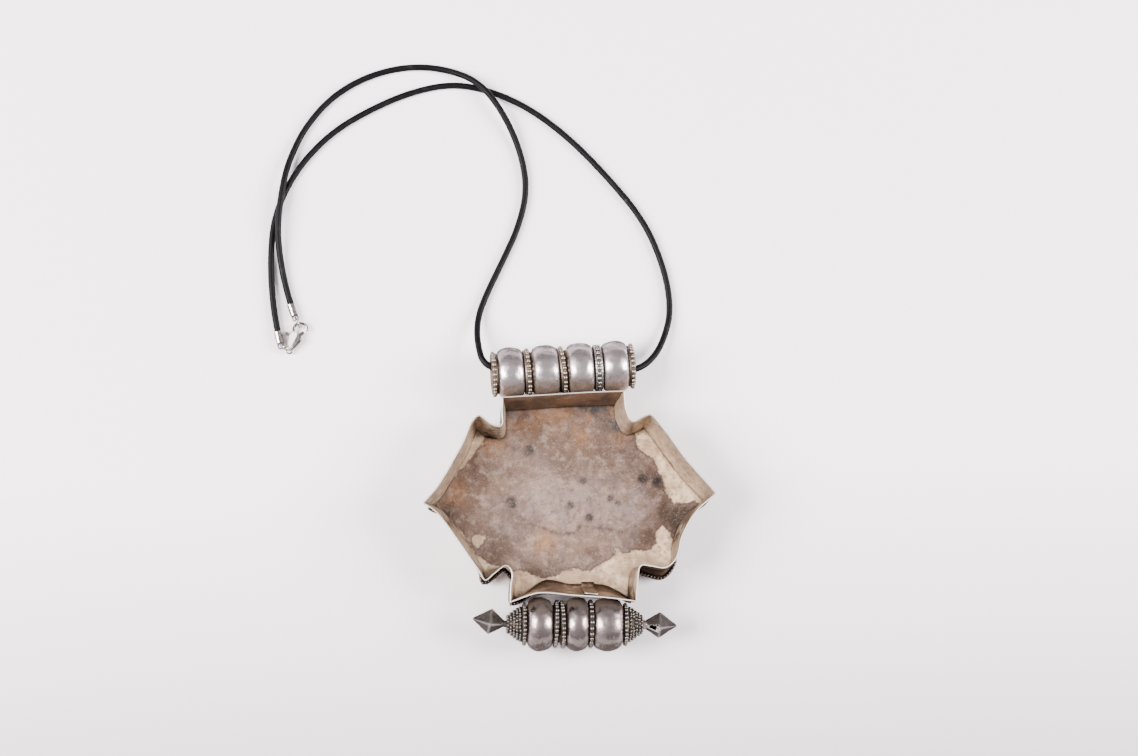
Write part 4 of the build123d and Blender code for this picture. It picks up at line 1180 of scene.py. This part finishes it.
# Pieces whose solid keeps its shape and only takes a finish
for names, material in (
    (("hanger_saddle",), SADDLE_MAT),
    (("centre_bezel", "corner_bezels", "front_border_wire"), BEZEL_MAT),
    (("centre_stone",), TURQUOISE_MAT),
    (("corner_stones",), CORAL_MAT),
    (("cord_cap_a", "cord_cap_b", "jump_ring_a", "jump_ring_b", "clasp_trigger", "clasp_pin", "clasp_spring"),
     BRIGHT_MAT),
):
    for name in names:
        mesh = node[name].data
        mesh.materials.clear()
        mesh.materials.append(material)

# Table and studio light
TABLE, TABLE_LOW = 3.0, -0.0001
LAMP_COLOUR = (1.0, 0.985, 0.97)
table_mesh = bpy.data.meshes.new("table")
table_corners = ((-TABLE, -TABLE), (TABLE, -TABLE), (TABLE, TABLE), (-TABLE, TABLE))
table_mesh.from_pydata([(x, y, TABLE_LOW) for x, y in table_corners], [], [(0, 1, 2, 3)])
table_mesh.materials.append(table_shade())
table = bpy.data.objects.new("table", table_mesh)
bpy.context.scene.collection.objects.link(table)

LAMPS = (
    ("lamp_left", (-1.05, -0.02, 0.95), 0.62, 0.85, 88.0),
    ("lamp_right", (1.15, 0.0, 0.80), 0.55, 0.8, 67.0),
)
for name, place, wide, high, watts in LAMPS:
    lamp = bpy.data.lights.new(name, "AREA")
    lamp.shape = "RECTANGLE"
    lamp.size, lamp.size_y = wide, high
    lamp.energy = watts
    lamp.color = LAMP_COLOUR
    holder = bpy.data.objects.new(name, lamp)
    holder.location = place
    holder.rotation_euler = (-Vector(place)).to_track_quat("-Z", "Y").to_euler()
    bpy.context.scene.collection.objects.link(holder)

world = bpy.data.worlds.new("studio")
world.use_nodes = True
tree = world.node_tree
sky = tree.nodes["Background"]
sky.inputs[0].default_value = (0.95, 0.925, 0.945, 1.0)
height = tree.nodes.new("ShaderNodeSeparateXYZ")
tree.links.new(tree.nodes.new("ShaderNodeTexCoord").outputs["Generated"], height.inputs[0])
glow = tree.nodes.new("ShaderNodeMapRange")
for socket, value in (("From Min", 0.0), ("From Max", 1.0), ("To Min", 0.25), ("To Max", 0.85)):
    glow.inputs[socket].default_value = value
tree.links.new(height.outputs["Z"], glow.inputs["Value"])
tree.links.new(glow.outputs[0], sky.inputs[1])
bpy.context.scene.world = world
